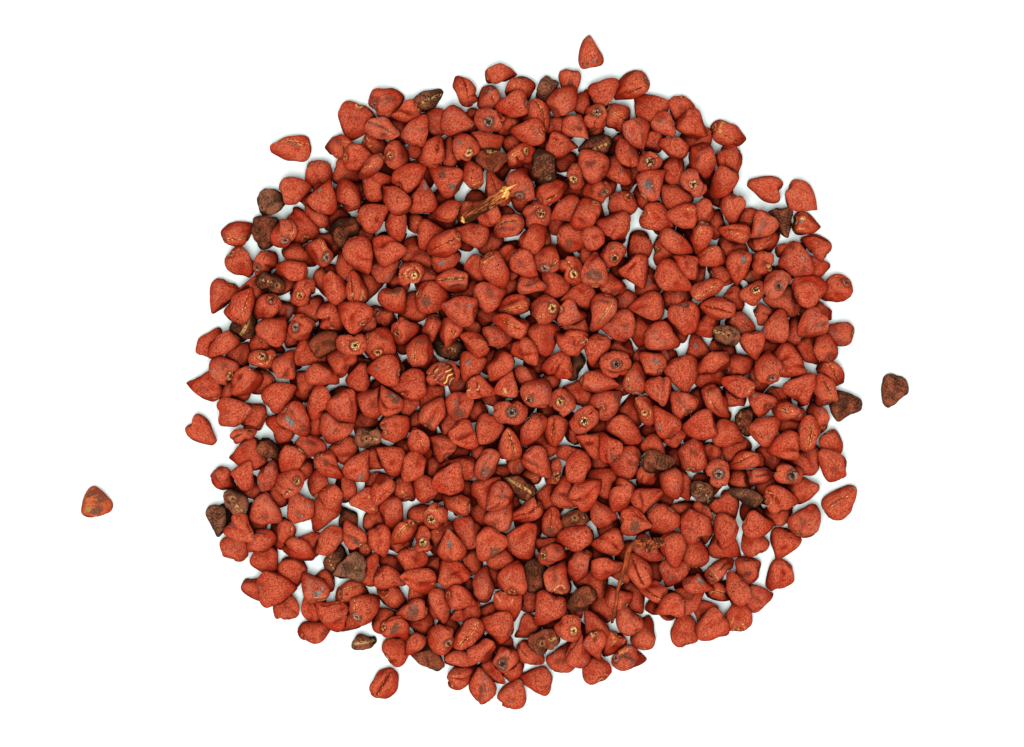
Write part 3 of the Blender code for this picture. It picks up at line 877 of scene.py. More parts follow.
@dataclass(frozen=True)
class SkinShaper:
    """Turns a seed's main shape into its finished skin."""

    growth: float = 1.03
    swell_height: float = 0.085
    lip_place: float = 2.6
    lip_width: float = 1.3
    lip_share: float = 0.45
    pit_radius: float = 0.20
    pit_depth: float = 0.22
    collar_radius: float = 0.44
    collar_height: float = 0.06
    moat_radius: float = 0.76
    moat_depth: float = 0.06
    ring_width: float = 0.15
    far: float = 9.0
    wrinkle_speed: float = 5.6
    wander_speed: float = 1.1
    wrinkle_middle: Triple = (0.6, 1.2, 0.8)
    wrinkle_sway: float = 4.0
    beak_reach: Pair = (0.15, 1.0)
    groove_start: Pair = (-0.98, -0.7)
    groove_end: Pair = (0.62, 0.95)
    crease_facing: Pair = (0.10, 0.55)
    least_facing: float = 0.05
    scar_facing: Pair = (0.2, 0.85)

    def shape(self, form: Form, traits: Traits, grid: SkinGrid) -> Skin:
        """Shapes one seed.

        Args:
            form: its size and main shape.
            traits: its fine form and wear.
            grid: the grid of its skin.

        Returns:
            The skin, in the seed's own axes.
        """
        half = form.half
        points = self.flatten(form.points(grid.ways()), traits)
        points[:, 1:] *= 1 - traits.beak * eased(points[:, :1] / half[0], *self.beak_reach)
        for dent in traits.dents:
            self.press_dent(points, dent)
        for crease in traits.creases:
            self.press_crease(points, crease, 1.0)
        self.press_crease(points, traits.notch, 1.0)
        ahead = points[:, 0] / half[0]
        along = eased(ahead, *self.groove_start) * (1 - eased(ahead, *self.groove_end))
        aside = self.press_crease(points, traits.groove, along)
        scar = self.cut_scar(points, half)
        self.swell(points, traits)
        side = -1 if form.bend < 0 else 1
        points[:, 1] += traits.hook * side * np.clip(points[:, 0] / half[0], 0, 1) ** 2
        stain, bare = (
            np.max([0 * scar, *(patch.strength(points, half) for patch in patches)], axis=0)
            for patches in (traits.stained, traits.bared)
        )
        marks = np.stack([scar, aside, points[:, 0] / half[0]], axis=1)
        wear = np.stack([grid.hollowness(points), stain, bare], axis=1)
        draws = np.tile([traits.tone, traits.wear, traits.dots], (len(points), 1))
        place = points + traits.offset
        return Skin(self.twist(points, traits, half) * self.growth, place, marks, wear, draws)

    @staticmethod
    def flatten(points: np.ndarray, traits: Traits) -> np.ndarray:
        """Presses the skin flat against its planes, and keeps it to its full size.

        Args:
            points: the skin.
            traits: the seed's traits.

        Returns:
            The flattened skin.
        """
        low, high = points.min(axis=0), points.max(axis=0)
        total = np.zeros(len(points))
        for flat in traits.flats:
            reach = points @ flat.way
            total += np.clip(reach / (flat.share * reach.max()), 0, None) ** traits.hardness
        points = points * ((1 + total) ** (-1 / traits.hardness))[:, None]
        new_low, new_high = points.min(axis=0), points.max(axis=0)
        return low + (points - new_low) / (new_high - new_low) * (high - low)

    @staticmethod
    def press_dent(points: np.ndarray, dent: Dent) -> None:
        """Sinks a dent into the skin.

        Args:
            points: the skin, which is changed.
            dent: the dent.
        """
        out = points / np.linalg.norm(points, axis=1, keepdims=True)
        spot = points[np.argmax(out @ dent.way)]
        apart = np.linalg.norm(points - spot, axis=1)
        sunk = dent.depth * (1 - eased(apart, 0.0, dent.radius))
        points -= sunk[:, None] * dent.way

    def press_crease(self, points: np.ndarray, crease: Crease, along: Any) -> np.ndarray:
        """Sinks a crease into one face of the skin, with a lip on each side.

        Args:
            points: the skin, which is changed.
            crease: the crease.
            along: how strong it is at each point along its way.

        Returns:
            How far each point is across from the crease.
        """
        ahead = np.cross(crease.face, crease.across)
        out = points @ crease.face
        facing = eased(out / out.max(), *self.crease_facing) * along
        bend = crease.wander * np.sin(self.wander_speed * (points @ ahead) + crease.phase)
        aside = points @ crease.across - crease.shift - bend
        share = np.abs(aside) / crease.width
        lips = bell(share - self.lip_place, self.lip_width)
        points += ((self.lip_share * lips - bell(share, 1)) * crease.depth * facing)[:, None] * crease.face
        return np.where(facing > self.least_facing, aside, np.copysign(self.far, aside))

    def cut_scar(self, points: np.ndarray, half: np.ndarray) -> np.ndarray:
        """Cuts the scar's pit, collar and moat into the broad end.

        Args:
            points: the skin, which is changed.
            half: its half sizes.

        Returns:
            How far each point is from the scar's middle.
        """
        behind = eased(-points[:, 0] / half[0], *self.scar_facing)
        apart = np.linalg.norm(points[:, 1:] - points[-1, 1:], axis=1)
        pit = self.pit_depth * bell(apart, self.pit_radius)
        collar = self.collar_height * bell(apart - self.collar_radius, self.ring_width)
        moat = self.moat_depth * bell(apart - self.moat_radius, self.ring_width)
        points[:, 0] += behind * (pit - collar + moat)
        return np.where(behind > 0, apart, self.far)

    def swell(self, points: np.ndarray, traits: Traits) -> None:
        """Raises low swells all over the skin, and concentric wrinkles on a shrivelled one.

        Args:
            points: the skin, which is changed.
            traits: the seed's traits.
        """
        out = points / np.linalg.norm(points, axis=1, keepdims=True)
        waves = np.sin(points @ traits.swells[:, :3].T + traits.swells[:, 3]).mean(axis=1)
        height = 2 * self.swell_height * waves
        if traits.wrinkles:
            apart = np.linalg.norm(points - self.wrinkle_middle, axis=1)
            height += traits.wrinkles * np.sin(self.wrinkle_speed * apart + self.wrinkle_sway * waves)
        points += out * height[:, None]

    @staticmethod
    def twist(points: np.ndarray, traits: Traits, half: np.ndarray) -> np.ndarray:
        """Twists the skin about its length.

        Args:
            points: the skin.
            traits: the seed's traits.
            half: its half sizes.

        Returns:
            The twisted skin.
        """
        angle = traits.twist * points[:, 0] / half[0]
        y = points[:, 1] * np.cos(angle) - points[:, 2] * np.sin(angle)
        z = points[:, 1] * np.sin(angle) + points[:, 2] * np.cos(angle)
        return np.stack([points[:, 0], y, z], axis=1)


def put(name: str, data: bpy.types.ID) -> Object:
    """Puts a new object with this data in the scene."""
    thing = bpy.data.objects.new(name, data)
    bpy.context.scene.collection.objects.link(thing)
    return thing


def turned_over(faces: Faces, chart: np.ndarray) -> tuple[Faces, np.ndarray]:
    """Faces that look the other way.

    Args:
        faces: the faces.
        chart: where each of their corners lies on the chart.

    Returns:
        The faces with their corners the other way round, and those corners' chart.
    """
    rows = []
    for face in faces:
        first = len(rows)
        rows += [first, *range(first + len(face) - 1, first, -1)]
    return [(face[0], *face[:0:-1]) for face in faces], chart[rows]


@dataclass
class Piece:
    """A mesh piece in the making: its points in millimetres, faces and what its finish reads."""

    name: str
    points: np.ndarray
    faces: Faces
    fields: dict[str, np.ndarray]
    chart: np.ndarray

    def make(self, material: Material, slot: str, replaces: tuple[str, ...]) -> None:
        """Makes the object, which rides on the model's body.

        Args:
            material: its finish.
            slot: the slot that the finish belongs to; not used.
            replaces: the solids that it stands for.
        """
        mesh = bpy.data.meshes.new(self.name)
        mesh.from_pydata((self.points * MM).tolist(), [], self.faces)
        for name, values in self.fields.items():
            layer = mesh.attributes.new(name, "FLOAT_VECTOR", "POINT")
            layer.data.foreach_set("vector", np.ascontiguousarray(values, dtype=np.float32).ravel())
        layer = mesh.uv_layers.new(name="OFBake")
        layer.uv.foreach_set("vector", np.ascontiguousarray(self.chart, dtype=np.float32).ravel())
        mesh.shade_smooth()
        mesh.materials.append(material)
        thing = put(self.name, mesh)
        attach(thing, BODY)
        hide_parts(*replaces)
        log.info("%s: %d points, %d faces", self.name, len(self.points), len(self.faces))


def operator(operation: str, other_first: bool = False) -> Callable[["Field", Any], "Field"]:
    """A field's method for one of Python's operators.

    Args:
        operation: the Math node's operation.
        other_first: whether the other term comes before the field, as in 1 - field.

    Returns:
        The method.
    """

    def method(field: "Field", other: Any) -> "Field":
        """A Math node of the field and another term."""
        return field.sum(operation, *((other, field) if other_first else (field, other)))

    return method


class Field:
    """A number that changes over a surface: a node's socket that takes part in Python's sums."""

    __add__, __radd__ = operator("ADD"), operator("ADD", True)
    __sub__, __rsub__ = operator("SUBTRACT"), operator("SUBTRACT", True)
    __mul__, __rmul__ = operator("MULTIPLY"), operator("MULTIPLY", True)
    __truediv__, __rtruediv__ = operator("DIVIDE"), operator("DIVIDE", True)

    def __init__(self, bench: "Bench", socket: NodeSocket) -> None:
        """Wraps a socket of a bench's tree."""
        self.bench = bench
        self.socket = socket

    def sum(self, operation: str, *terms: Any) -> "Field":
        """A Math node of these terms."""
        node = self.bench.node("ShaderNodeMath", {"operation": operation}, dict(enumerate(terms)))
        return Field(self.bench, node.outputs[0])

    def __abs__(self) -> "Field":
        """This without its sign."""
        return self.sum("ABSOLUTE", self)

    def again(self, turns: float) -> "Field":
        """Another number from 0 to 1, drawn from this one."""
        return self.sum("FRACT", self * turns)

    def fall(self, start: float, end: float) -> "Field":
        """Falls smoothly from 1 to 0 as this goes from start to end."""
        return 1 - self.rise(start, end)

    def rise(self, start: float, end: float) -> "Field":
        """Rises smoothly from 0 to 1 as this goes from start to end.

        Args:
            start: where the rise starts.
            end: where it ends.

        Returns:
            The share of the rise.
        """
        settings = {"interpolation_type": "SMOOTHSTEP"}
        sockets = {"Value": self, "From Min": start, "From Max": end}
        node = self.bench.node("ShaderNodeMapRange", settings, sockets)
        return Field(self.bench, node.outputs["Result"])


class Bench:
    """Builds one material: its nodes, its colour coat by coat, and its shader."""

    def __init__(self, name: str, base: Colour) -> None:
        """Starts a material with a plain shader and its undermost colour."""
        self.material = bpy.data.materials.new(name)
        self.material.use_nodes = True
        self.tree = self.material.node_tree
        self.shader = self.tree.nodes["Principled BSDF"]
        self.colour: Any = base

    @cached_property
    def place(self) -> NodeSocket:
        """Where on the piece a point is."""
        return self.read("place")

    def node(self, kind: str, settings: dict[str, Any], sockets: dict[Any, Any]) -> Node:
        """Adds a node.

        Args:
            kind: the node's type.
            settings: what is set on the node itself, before its sockets.
            sockets: a value, a field or another node's socket for each of its inputs.

        Returns:
            The node.
        """
        node = self.tree.nodes.new(kind)
        for name, value in settings.items():
            setattr(node, name, value)
        for name, value in sockets.items():
            self.feed(node.inputs[name], value)
        return node

    def feed(self, socket: NodeSocket, value: Any) -> None:
        """Sets a socket to a value, or links it to a field or another socket."""
        if isinstance(value, Field):
            value = value.socket
        if isinstance(value, NodeSocket):
            self.tree.links.new(value, socket)
        elif isinstance(value, tuple) and socket.type == "RGBA":
            socket.default_value = (*value, 1.0)
        else:
            socket.default_value = value

    def read(self, name: str) -> NodeSocket:
        """The three numbers that the mesh holds under this name."""
        return self.node("ShaderNodeAttribute", {"attribute_name": name}, {}).outputs["Vector"]

    def parts(self, vector: NodeSocket) -> tuple[Field, ...]:
        """A vector's three numbers."""
        node = self.node("ShaderNodeSeparateXYZ", {}, {0: vector})
        return tuple(Field(self, output) for output in node.outputs)

    def noise(
        self, scale: float, detail: float = 2.0, roughness: float = 0.5, distortion: float = 0.0,
        stretch: Triple | None = None,
    ) -> Field:
        """Soft random patches.

        Args:
            scale: how many there are to a unit of length.
            detail: how many finer layers they have.
            roughness: how strong those are.
            distortion: how much they are drawn out.
            stretch: how much closer they lie along each axis.

        Returns:
            A field about 0.5.
        """
        place = self.place
        if stretch:
            sockets = {0: place, 1: stretch}
            place = self.node("ShaderNodeVectorMath", {"operation": "MULTIPLY"}, sockets).outputs[0]
        sockets = {"Vector": place, "Scale": scale, "Detail": detail, "Roughness": roughness}
        sockets["Distortion"] = distortion
        return Field(self, self.node("ShaderNodeTexNoise", {}, sockets).outputs[0])

    def bands(self, spacing: float, distortion: float) -> Field:
        """Wavy lines that follow each other along the piece.

        Args:
            spacing: how far apart they are.
            distortion: how far they stray, as an angle of the wave.

        Returns:
            A field from 0 to 1.
        """
        scale = tau / WAVE_PHASE / spacing
        sockets = {"Vector": self.place, "Scale": scale, "Distortion": distortion, "Detail": 2.0}
        return Field(self, self.node("ShaderNodeTexWave", {}, sockets).outputs["Fac"])

    def cells(self, scale: float) -> tuple[Field, Field]:
        """The distance to the nearest of scattered points, in units of their spacing, and its own number."""
        node = self.node("ShaderNodeTexVoronoi", {}, {"Vector": self.place, "Scale": scale})
        return Field(self, node.outputs["Distance"]), self.parts(node.outputs["Color"])[0]

    def mix(self, share: Any, first: Any, second: Any) -> NodeSocket:
        """A colour between two others, with this share of the second."""
        settings = {"data_type": "RGBA", "clamp_factor": True}
        return self.node("ShaderNodeMix", settings, {0: share, 6: first, 7: second}).outputs[2]

    def lay(self, *coats: tuple[Any, Any]) -> None:
        """Lays coats over the colour so far, each a share and a shade."""
        for share, shade in coats:
            self.colour = self.mix(share, self.colour, shade)

    def finish(self, roughness: Any, height: Field, relief: float, gloss: float) -> Material:
        """Feeds the shader with the colour and with these.

        Args:
            roughness: the surface's roughness.
            height: the fine relief, from 0 to 1.
            relief: how deep that is, in millimetres.
            gloss: how strongly it reflects.

        Returns:
            The material.
        """
        bump = self.node("ShaderNodeBump", {}, {"Height": height, "Distance": relief * MM, "Strength": 1.0})
        inputs = {"Base Color": self.colour, "Roughness": roughness, "Normal": bump.outputs[0]}
        inputs["Specular IOR Level"] = gloss
        for name, value in inputs.items():
            self.feed(self.shader.inputs[name], value)
        return self.material


class SeedBench(Bench):
    """A bench for a seed's coat, with all that the mesh holds at each point."""

    def __init__(self, name: str, base: Colour) -> None:
        """Starts the material and reads the mesh."""
        super().__init__(name, base)
        self.scar, self.aside, self.along = self.parts(self.read("marks"))
        self.hollow, self.stain, self.bare = self.parts(self.read("wear"))
        self.tone, self.wear, self.dots = self.parts(self.read("draws"))
        # Near, sky and high: what each point sees of the sky past near and far seeds, and how high on its
        # seed it lies. The coats paint shade and highlight from these.
        self.near, self.sky, self.high = self.parts(self.read("sky"))


@dataclass(frozen=True)
class SeedCoat:
    """The matte, powdery red coat of a sound seed, with its scar, groove, dents and worn patches, and with
    painted shade in hollows, low on each seed and between seeds, and a painted highlight on its top.
    """

    name: str = "powdery_red_coat"
    deep: Colour = (0.280, 0.015, 0.004)
    brick: Colour = (0.415, 0.034, 0.009)
    coral: Colour = (0.450, 0.070, 0.028)
    peach: Colour = (0.510, 0.150, 0.084)
    # Painted highlight, laid on the top of each seed.
    top_highlight: Colour = (0.425, 0.086, 0.040)
    amber: Colour = (0.460, 0.115, 0.024)
    soot: Colour = (0.022, 0.008, 0.006)
    # Dark red for the grain's dark specks and for painted shade.
    speck_and_shade_dark: Colour = (0.070, 0.005, 0.002)
    shadow: Colour = (0.022, 0.002, 0.001)
    dull: Colour = (0.085, 0.034, 0.020)
    dust: Colour = (0.210, 0.090, 0.058)
    scuff: Colour = (0.330, 0.130, 0.090)
    flake: Colour = (0.205, 0.180, 0.155)
    slate: Colour = (0.085, 0.074, 0.066)
    olive: Colour = (0.300, 0.165, 0.040)
    straw: Colour = (0.440, 0.215, 0.060)
    pale_straw: Colour = (0.700, 0.480, 0.190)
    amber_tone: Pair = (-0.9, -0.3)
    gloss: float = 0.02
    relief: float = 0.10

    def material(self) -> Material:
        """Builds the finish."""
        bench = SeedBench(self.name, self.deep)
        hollow, tone, sky, high = bench.hollow, bench.tone, bench.sky, bench.high
        patches = bench.noise(0.45, 3.0)
        blotches = bench.noise(1.3, 4.0, 0.6)
        fibres = bench.noise(1.8, 4.0, 0.72, 0.7, stretch=(0.5, 2.2, 2.2))
        grain = bench.noise(3.8, 3.0, 0.8, stretch=(0.7, 1.1, 1.1))
        powder = bench.noise(6.0, 1.0)
        fold = abs(bench.noise(0.8, 1.0, stretch=(0.35, 1.0, 1.0)) - 0.5)
        fold = fold.fall(0.0, 0.022) * blotches.rise(0.42, 0.55)
        # Hollows, broken by blotches: laid below as painted shade in the hollows and painted highlight on
        # the ridges.
        ridge_light_hollow_shade = hollow + (blotches - 0.5)
        bench.lay(
            (patches.rise(0.36, 0.56), self.brick),
            (tone - 0.38 + (fibres - 0.5) * 2.2, self.coral),
            ((0.52 - tone) * 1.3 + (0.47 - fibres) * 2.2, self.deep),
            (tone.fall(*self.amber_tone) * 0.85, self.amber),
            # Painted highlight on the top of each seed.
            (high.rise(0.60, 0.98) * 0.40, self.top_highlight),
            (grain.rise(0.50, 0.64) * 0.50, self.peach),
            (grain.fall(0.36, 0.50) * 0.60, self.speck_and_shade_dark),
            (powder.rise(0.52, 0.66) * 0.52, self.peach),
            (powder.fall(0.34, 0.48) * 0.42, self.speck_and_shade_dark),
            # Painted highlight on ridges, and painted shade in hollows, in the deepest hollows and along the
            # fine fold lines.
            (ridge_light_hollow_shade.fall(-1.5, -0.2) * 0.45, self.coral),
            (ridge_light_hollow_shade.rise(0.3, 1.9) * 0.65, self.deep),
            ((hollow + (grain - 0.5)).rise(1.2, 2.8) * 0.70, self.speck_and_shade_dark),
            (fold * 0.35, self.speck_and_shade_dark),
        )
        self.stains(bench, blotches)
        self.wear_patches(bench, grain)
        self.pits(bench)
        self.groove_line(bench)
        self.scar_rings(bench, blotches)
        # Painted shade: darker low on each seed and where little sky shows past the seeds round about, and a
        # painted contact shadow next to near neighbours.
        bench.lay(
            (high.fall(0.50, 0.92) * 0.60, self.deep),
            (sky.fall(0.60, 1.00) * 0.30, self.deep),
            (high.fall(0.46, 0.64) * 0.60, self.speck_and_shade_dark),
            (sky.fall(0.08, 0.54) * 0.84, self.speck_and_shade_dark),
            (bench.near.fall(0.12, 0.46) * 0.82, self.shadow),
        )
        height = fibres * 0.50 + grain * 0.50 - fold * 0.30
        return bench.finish(0.84 + grain * 0.14, height, self.relief, self.gloss)

    def stains(self, bench: SeedBench, blotches: Field) -> None:
        """Adds dull brown stains with dusty spots, some of them in the hollows.

        Args:
            bench: the material in the making.
            blotches: patches about a millimetre across.
        """
        specks = bench.noise(4.0, 3.0, 0.75)
        ragged = bench.noise(1.9, 4.0, 0.7)
        shade = bench.mix(specks.rise(0.51, 0.67), self.dull, self.dust)
        hollow = bench.hollow.rise(0.0, 1.5) * bench.wear
        bench.lay(
            ((hollow * 1.2 + blotches - 0.5).rise(0.60, 1.00) * 0.50, shade),
            ((bench.stain * 1.6 + (ragged - 0.5) * 2.2).rise(0.42, 0.72) * 0.85, shade),
        )

    def wear_patches(self, bench: SeedBench, grain: Field) -> None:
        """Adds dull scuffs, and crisp flakes where the powder is rubbed off: grey, or olive on amber.

        Args:
            bench: the material in the making.
            grain: the coat's fine grain.
        """
        wear, edge = bench.wear - 0.5, bench.along - bench.hollow * 0.10
        streaks = bench.noise(1.0, 4.0, 0.65, stretch=(0.5, 1.6, 1.6))
        flakes = bench.noise(1.15, 4.0, 0.65, stretch=(0.55, 1.2, 1.2))
        rubbed = flakes + wear * 0.16 + edge.rise(0.55, 1.20) * 0.15 + bench.bare.rise(0.0, 0.7) * 0.40
        flake = bench.mix((flakes + grain).rise(0.90, 1.20), self.slate, self.flake)
        flake = bench.mix(bench.tone.fall(*self.amber_tone), flake, self.olive)
        bench.lay(
            ((streaks + wear * 0.25).rise(0.60, 0.74) * 0.35, self.scuff),
            (rubbed.rise(0.700, 0.715) * 0.7, self.soot),
            (rubbed.rise(0.720, 0.735) * 0.92, flake),
        )

    def pits(self, bench: SeedBench) -> None:
        """Adds small dark pits here and there, and smaller, fainter ones between them.

        Args:
            bench: the material in the making.
        """
        apart, number = bench.cells(0.75)
        bench.lay((apart.fall(0.06, 0.14) * number.rise(0.60, 0.65) * 0.9, self.soot))
        apart, number = bench.cells(2.3)
        bench.lay((apart.fall(0.12, 0.28) * number.rise(0.80, 0.88) * 0.60, self.soot))

    def groove_line(self, bench: SeedBench) -> None:
        """Paints shade into the groove's bottom in dashes, and dots its edges with straw.

        Args:
            bench: the material in the making.
        """
        broken = bench.noise(1.7, 3.0, 0.6)
        fleck = bench.noise(3.0, 2.0, 0.7)
        across = abs(bench.aside + (broken - 0.5) * 0.35)
        dashes = across.fall(0.02, 0.10) * (fleck + (0.5 - bench.dots) * 0.14).rise(0.50, 0.60)
        rows = abs(across - 0.14)
        flecks = rows.fall(0.02, 0.11) * (fleck + (bench.dots - 0.5) * 0.20).rise(0.53, 0.60)
        tan = bench.mix(fleck.rise(0.55, 0.68), self.straw, self.pale_straw)
        bench.lay((dashes * 0.60, self.soot), (flecks * 0.80, tan))

    def scar_rings(self, bench: SeedBench, blotches: Field) -> None:
        """Paints the scar: a dark pit in a cracked straw or grey ring, with dull crescents round it.

        Args:
            bench: the material in the making.
            blotches: patches about a millimetre across.
        """
        hue = bench.wear.again(9.1)
        rough = bench.noise(4.2, 3.0, 0.75)
        size = 0.72 + bench.dots.again(5.7) * 0.48
        away = bench.scar / size + (rough - 0.5) * 0.34 + (blotches - 0.5) * 0.26
        crescent = away.fall(0.72, 1.05) * (blotches + (hue - 0.5) * 0.16).rise(0.46, 0.56)
        cracked = (rough + (bench.dots - 0.5) * 0.12).rise(0.48, 0.54)
        straw = bench.mix(rough.rise(0.45, 0.62), self.straw, self.pale_straw)
        ring = bench.mix(hue.rise(0.60, 0.72) * 0.85, straw, self.flake)
        arc = abs(away - 1.15).fall(0.04, 0.12) * hue.fall(0.05, 0.08) * blotches.rise(0.48, 0.56)
        bench.lay(
            (crescent * 0.80, self.dull),
            (away.fall(0.44, 0.60) * (1 - cracked) * 0.85, self.soot),
            (away.fall(0.46, 0.64) * cracked * 0.95, ring),
            (arc * 0.80, straw),
            # Painted shade: the middle of the scar's pit near black.
            (away.fall(0.18, 0.30) * 0.96, self.soot),
        )


@dataclass(frozen=True)
class ShrivelledCoat:
    """The dark brown, wrinkled coat of a seed that dried unripe, with painted shade in its hollows, low on
    it and between seeds, and painted light on its ridges.
    """

    name: str = "wrinkled_brown_coat"
    dark: Colour = (0.034, 0.010, 0.005)
    brown: Colour = (0.160, 0.044, 0.019)
    rust: Colour = (0.270, 0.040, 0.014)
    ash: Colour = (0.230, 0.120, 0.066)
    straw: Colour = (0.480, 0.280, 0.095)
    # Used only for painted shade.
    speck_and_shade_dark: Colour = (0.012, 0.005, 0.003)
    gloss: float = 0.05
    relief: float = 0.16

    def material(self) -> Material:
        """Builds the finish."""
        bench = SeedBench(self.name, self.dark)
        hollow = bench.hollow
        patches = bench.noise(0.6, 3.0)
        wrinkles = bench.noise(1.5, 4.0, 0.65, 1.2, stretch=(1.0, 3.2, 3.2))
        lines = bench.bands(0.42, 14.0)
        grain = bench.noise(4.6, 3.0, 0.7)
        fleck = bench.noise(3.1, 1.0)
        dusty = lines * 0.06 + grain * 0.6 + patches * 0.4 + (bench.wear - 0.5) * 0.2
        away = bench.scar + (grain - 0.5) * 0.6
        fleck = fleck + bench.dots * 0.12 + bench.along * 0.02
        flecks = abs(bench.aside).fall(0.14, 0.26) * fleck.rise(0.54, 0.60)
        bench.lay(
            ((wrinkles * 0.85 + lines * 0.15).rise(0.40, 0.62), self.brown),
            ((patches + (bench.tone - 0.5) * 0.3).rise(0.42, 0.62) * 0.75, self.rust),
            (dusty.rise(0.50, 0.62) * 0.50, self.ash),
            (grain.fall(0.38, 0.50) * 0.60, self.dark),
            # Darker in its stains, and in its hollows as painted shade; lighter on its ridges as painted
            # light.
            ((hollow + bench.stain + grain - 0.5).rise(0.2, 1.8) * 0.6, self.dark),
            (hollow.fall(-1.8, -0.4) * 0.25, self.rust),
            # Painted shade low on the seed.
            (bench.high.fall(0.50, 0.80) * 0.70, self.dark),
            (flecks * 0.8, self.straw),
            (away.fall(0.36, 0.50) * grain.rise(0.42, 0.54) * 0.45, self.straw),
            (away.fall(0.12, 0.24), self.dark),
            # Painted shade where little sky shows past the seeds round about, and next to near neighbours.
            (bench.sky.fall(0.15, 0.80) * 0.85, self.speck_and_shade_dark),
            (bench.near.fall(0.25, 0.72) * 0.90, self.speck_and_shade_dark),
        )
        height = lines * 0.12 + wrinkles * 0.60 + grain * 0.28
        return bench.finish(0.70 + grain * 0.2, height, self.relief, self.gloss)


@dataclass(frozen=True)
class TwigBark:
    """Dark red-brown bark with fine fibres, which turns to bare yellow wood at the ends."""

    name: str = "twig_bark_and_wood"
    dark: Colour = (0.028, 0.007, 0.003)
    bark: Colour = (0.110, 0.022, 0.008)
    rust: Colour = (0.340, 0.072, 0.018)
    orange: Colour = (0.520, 0.140, 0.036)
    ash: Colour = (0.240, 0.130, 0.080)
    wood: Colour = (0.600, 0.250, 0.045)
    pale_wood: Colour = (0.800, 0.560, 0.170)
    gloss: float = 0.06
    relief: float = 0.16

    def material(self) -> Material:
        """Builds the finish."""
        bench = Bench(self.name, self.bark)
        along, bare, under = bench.parts(bench.read("marks"))
        fibres = bench.noise(1.3, 4.0, 0.65, stretch=(0.30, 2.6, 2.6))
        threads = bench.noise(1.1, 2.0, 0.6, stretch=(0.30, 4.5, 4.5))
        chips = bench.noise(1.5, 3.0, 0.7, stretch=(0.9, 1.6, 1.6))
        # Dark streaks and patches in the bark, which is darker towards the cut end, and painted shade along
        # the twig's lower-right side, seen from above.
        dark_streaks_and_side_shade = chips + along * 0.24 - under * 0.20
        wood = bench.mix(threads.rise(0.47, 0.58), self.wood, self.pale_wood)
        wood = bench.mix(fibres.fall(0.40, 0.48) * 0.8, wood, self.rust)
        bench.lay(
            (fibres.rise(0.42, 0.60), self.rust),
            ((along + (chips - 0.5) * 1.2).rise(0.30, 0.75) * 0.8, self.orange),
            (chips.rise(0.58, 0.66) * 0.3, self.ash),
            (threads.fall(0.44, 0.52) * 0.85, self.dark),
            (dark_streaks_and_side_shade.fall(0.44, 0.56) * 0.9, self.dark),
            ((bare + (chips - 0.5) * 0.35).rise(0.42, 0.56), wood),
        )
        height = fibres * 0.4 + threads * 0.4 + chips * 0.2
        return bench.finish(0.78 + chips * 0.15, height, self.relief, self.gloss)


@dataclass(frozen=True)
class StalkSkin:
    """The red-brown, fibrous skin of a dried stalk, with a darker, crumbling flower's foot."""

    name: str = "dried_stalk_skin"
    dark: Colour = (0.028, 0.007, 0.003)
    brown: Colour = (0.115, 0.026, 0.011)
    rust: Colour = (0.370, 0.062, 0.014)
    plum: Colour = (0.130, 0.030, 0.016)
    fleck: Colour = (0.480, 0.140, 0.040)
    gloss: float = 0.06
    relief: float = 0.14

    def material(self) -> Material:
        """Builds the finish."""
        bench = Bench(self.name, self.brown)
        along, swollen, lumps = bench.parts(bench.read("marks"))
        upper = bench.parts(bench.place)[2]
        fibres = bench.noise(1.6, 3.0, 0.6, stretch=(0.4, 3.0, 3.0))
        crumbs = bench.noise(3.0, 3.0, 0.8)
        patches = bench.noise(0.9, 2.0)
        foot = bench.mix((patches + lumps * 0.2).rise(0.46, 0.62), self.plum, self.rust)
        foot = bench.mix(crumbs.fall(0.46, 0.56) * 0.90, foot, self.dark)
        foot = bench.mix((crumbs + patches * 0.3).rise(0.72, 0.80) * 0.80, foot, self.fleck)
        bench.lay(
            (fibres.rise(0.42, 0.62), self.rust),
            # Painted shade: the stalk darker on its sides and lower side, lightest along its top.
            (upper.fall(0.06, 0.22) * 0.80, self.dark),
            (crumbs.fall(0.36, 0.46) * 0.6, self.dark),
            (swollen, foot),
            (along.rise(0.86, 1.0) * 0.6, self.dark),
        )
        height = fibres * 0.4 + crumbs * 0.6
        return bench.finish(0.75 + crumbs * 0.18, height, self.relief, self.gloss)


@dataclass(frozen=True)
class TornFlesh:
    """The inside of a torn seed: orange-red folds with broken, bright yellow crests."""

    name: str = "torn_seed_folds"
    red: Colour = (0.210, 0.020, 0.006)
    orange: Colour = (0.500, 0.130, 0.026)
    yellow: Colour = (0.780, 0.460, 0.095)
    dark: Colour = (0.035, 0.014, 0.010)
    gloss: float = 0.30
    relief: float = 0.12

    def material(self) -> Material:
        """Builds the finish."""
        bench = Bench(self.name, self.red)
        crest, outer, high = bench.parts(bench.read("marks"))
        blotches = bench.noise(1.6, 2.0, 0.6, stretch=(1.0, 0.5, 1.0))
        crumbs = bench.noise(3.2, 3.0, 0.7)
        streaks = crest + (blotches - 0.5) * 0.7 + (crumbs - 0.5) * 0.7 + outer * 0.12
        bench.lay(
            (blotches.rise(0.50, 0.66) * 0.4, self.orange),
            (streaks.rise(0.36, 0.58) * 0.8, self.orange),
            (streaks.rise(0.56, 0.76), self.yellow),
            ((crest + (crumbs - 0.5)).fall(-0.15, 0.12) * 0.60, self.dark),
            # Painted shade: a dark rim low on the scrap.
            (high.fall(0.60, 0.90) * 0.92, self.dark),
        )
        return bench.finish(0.6 + crumbs * 0.2, crumbs, self.relief, self.gloss)


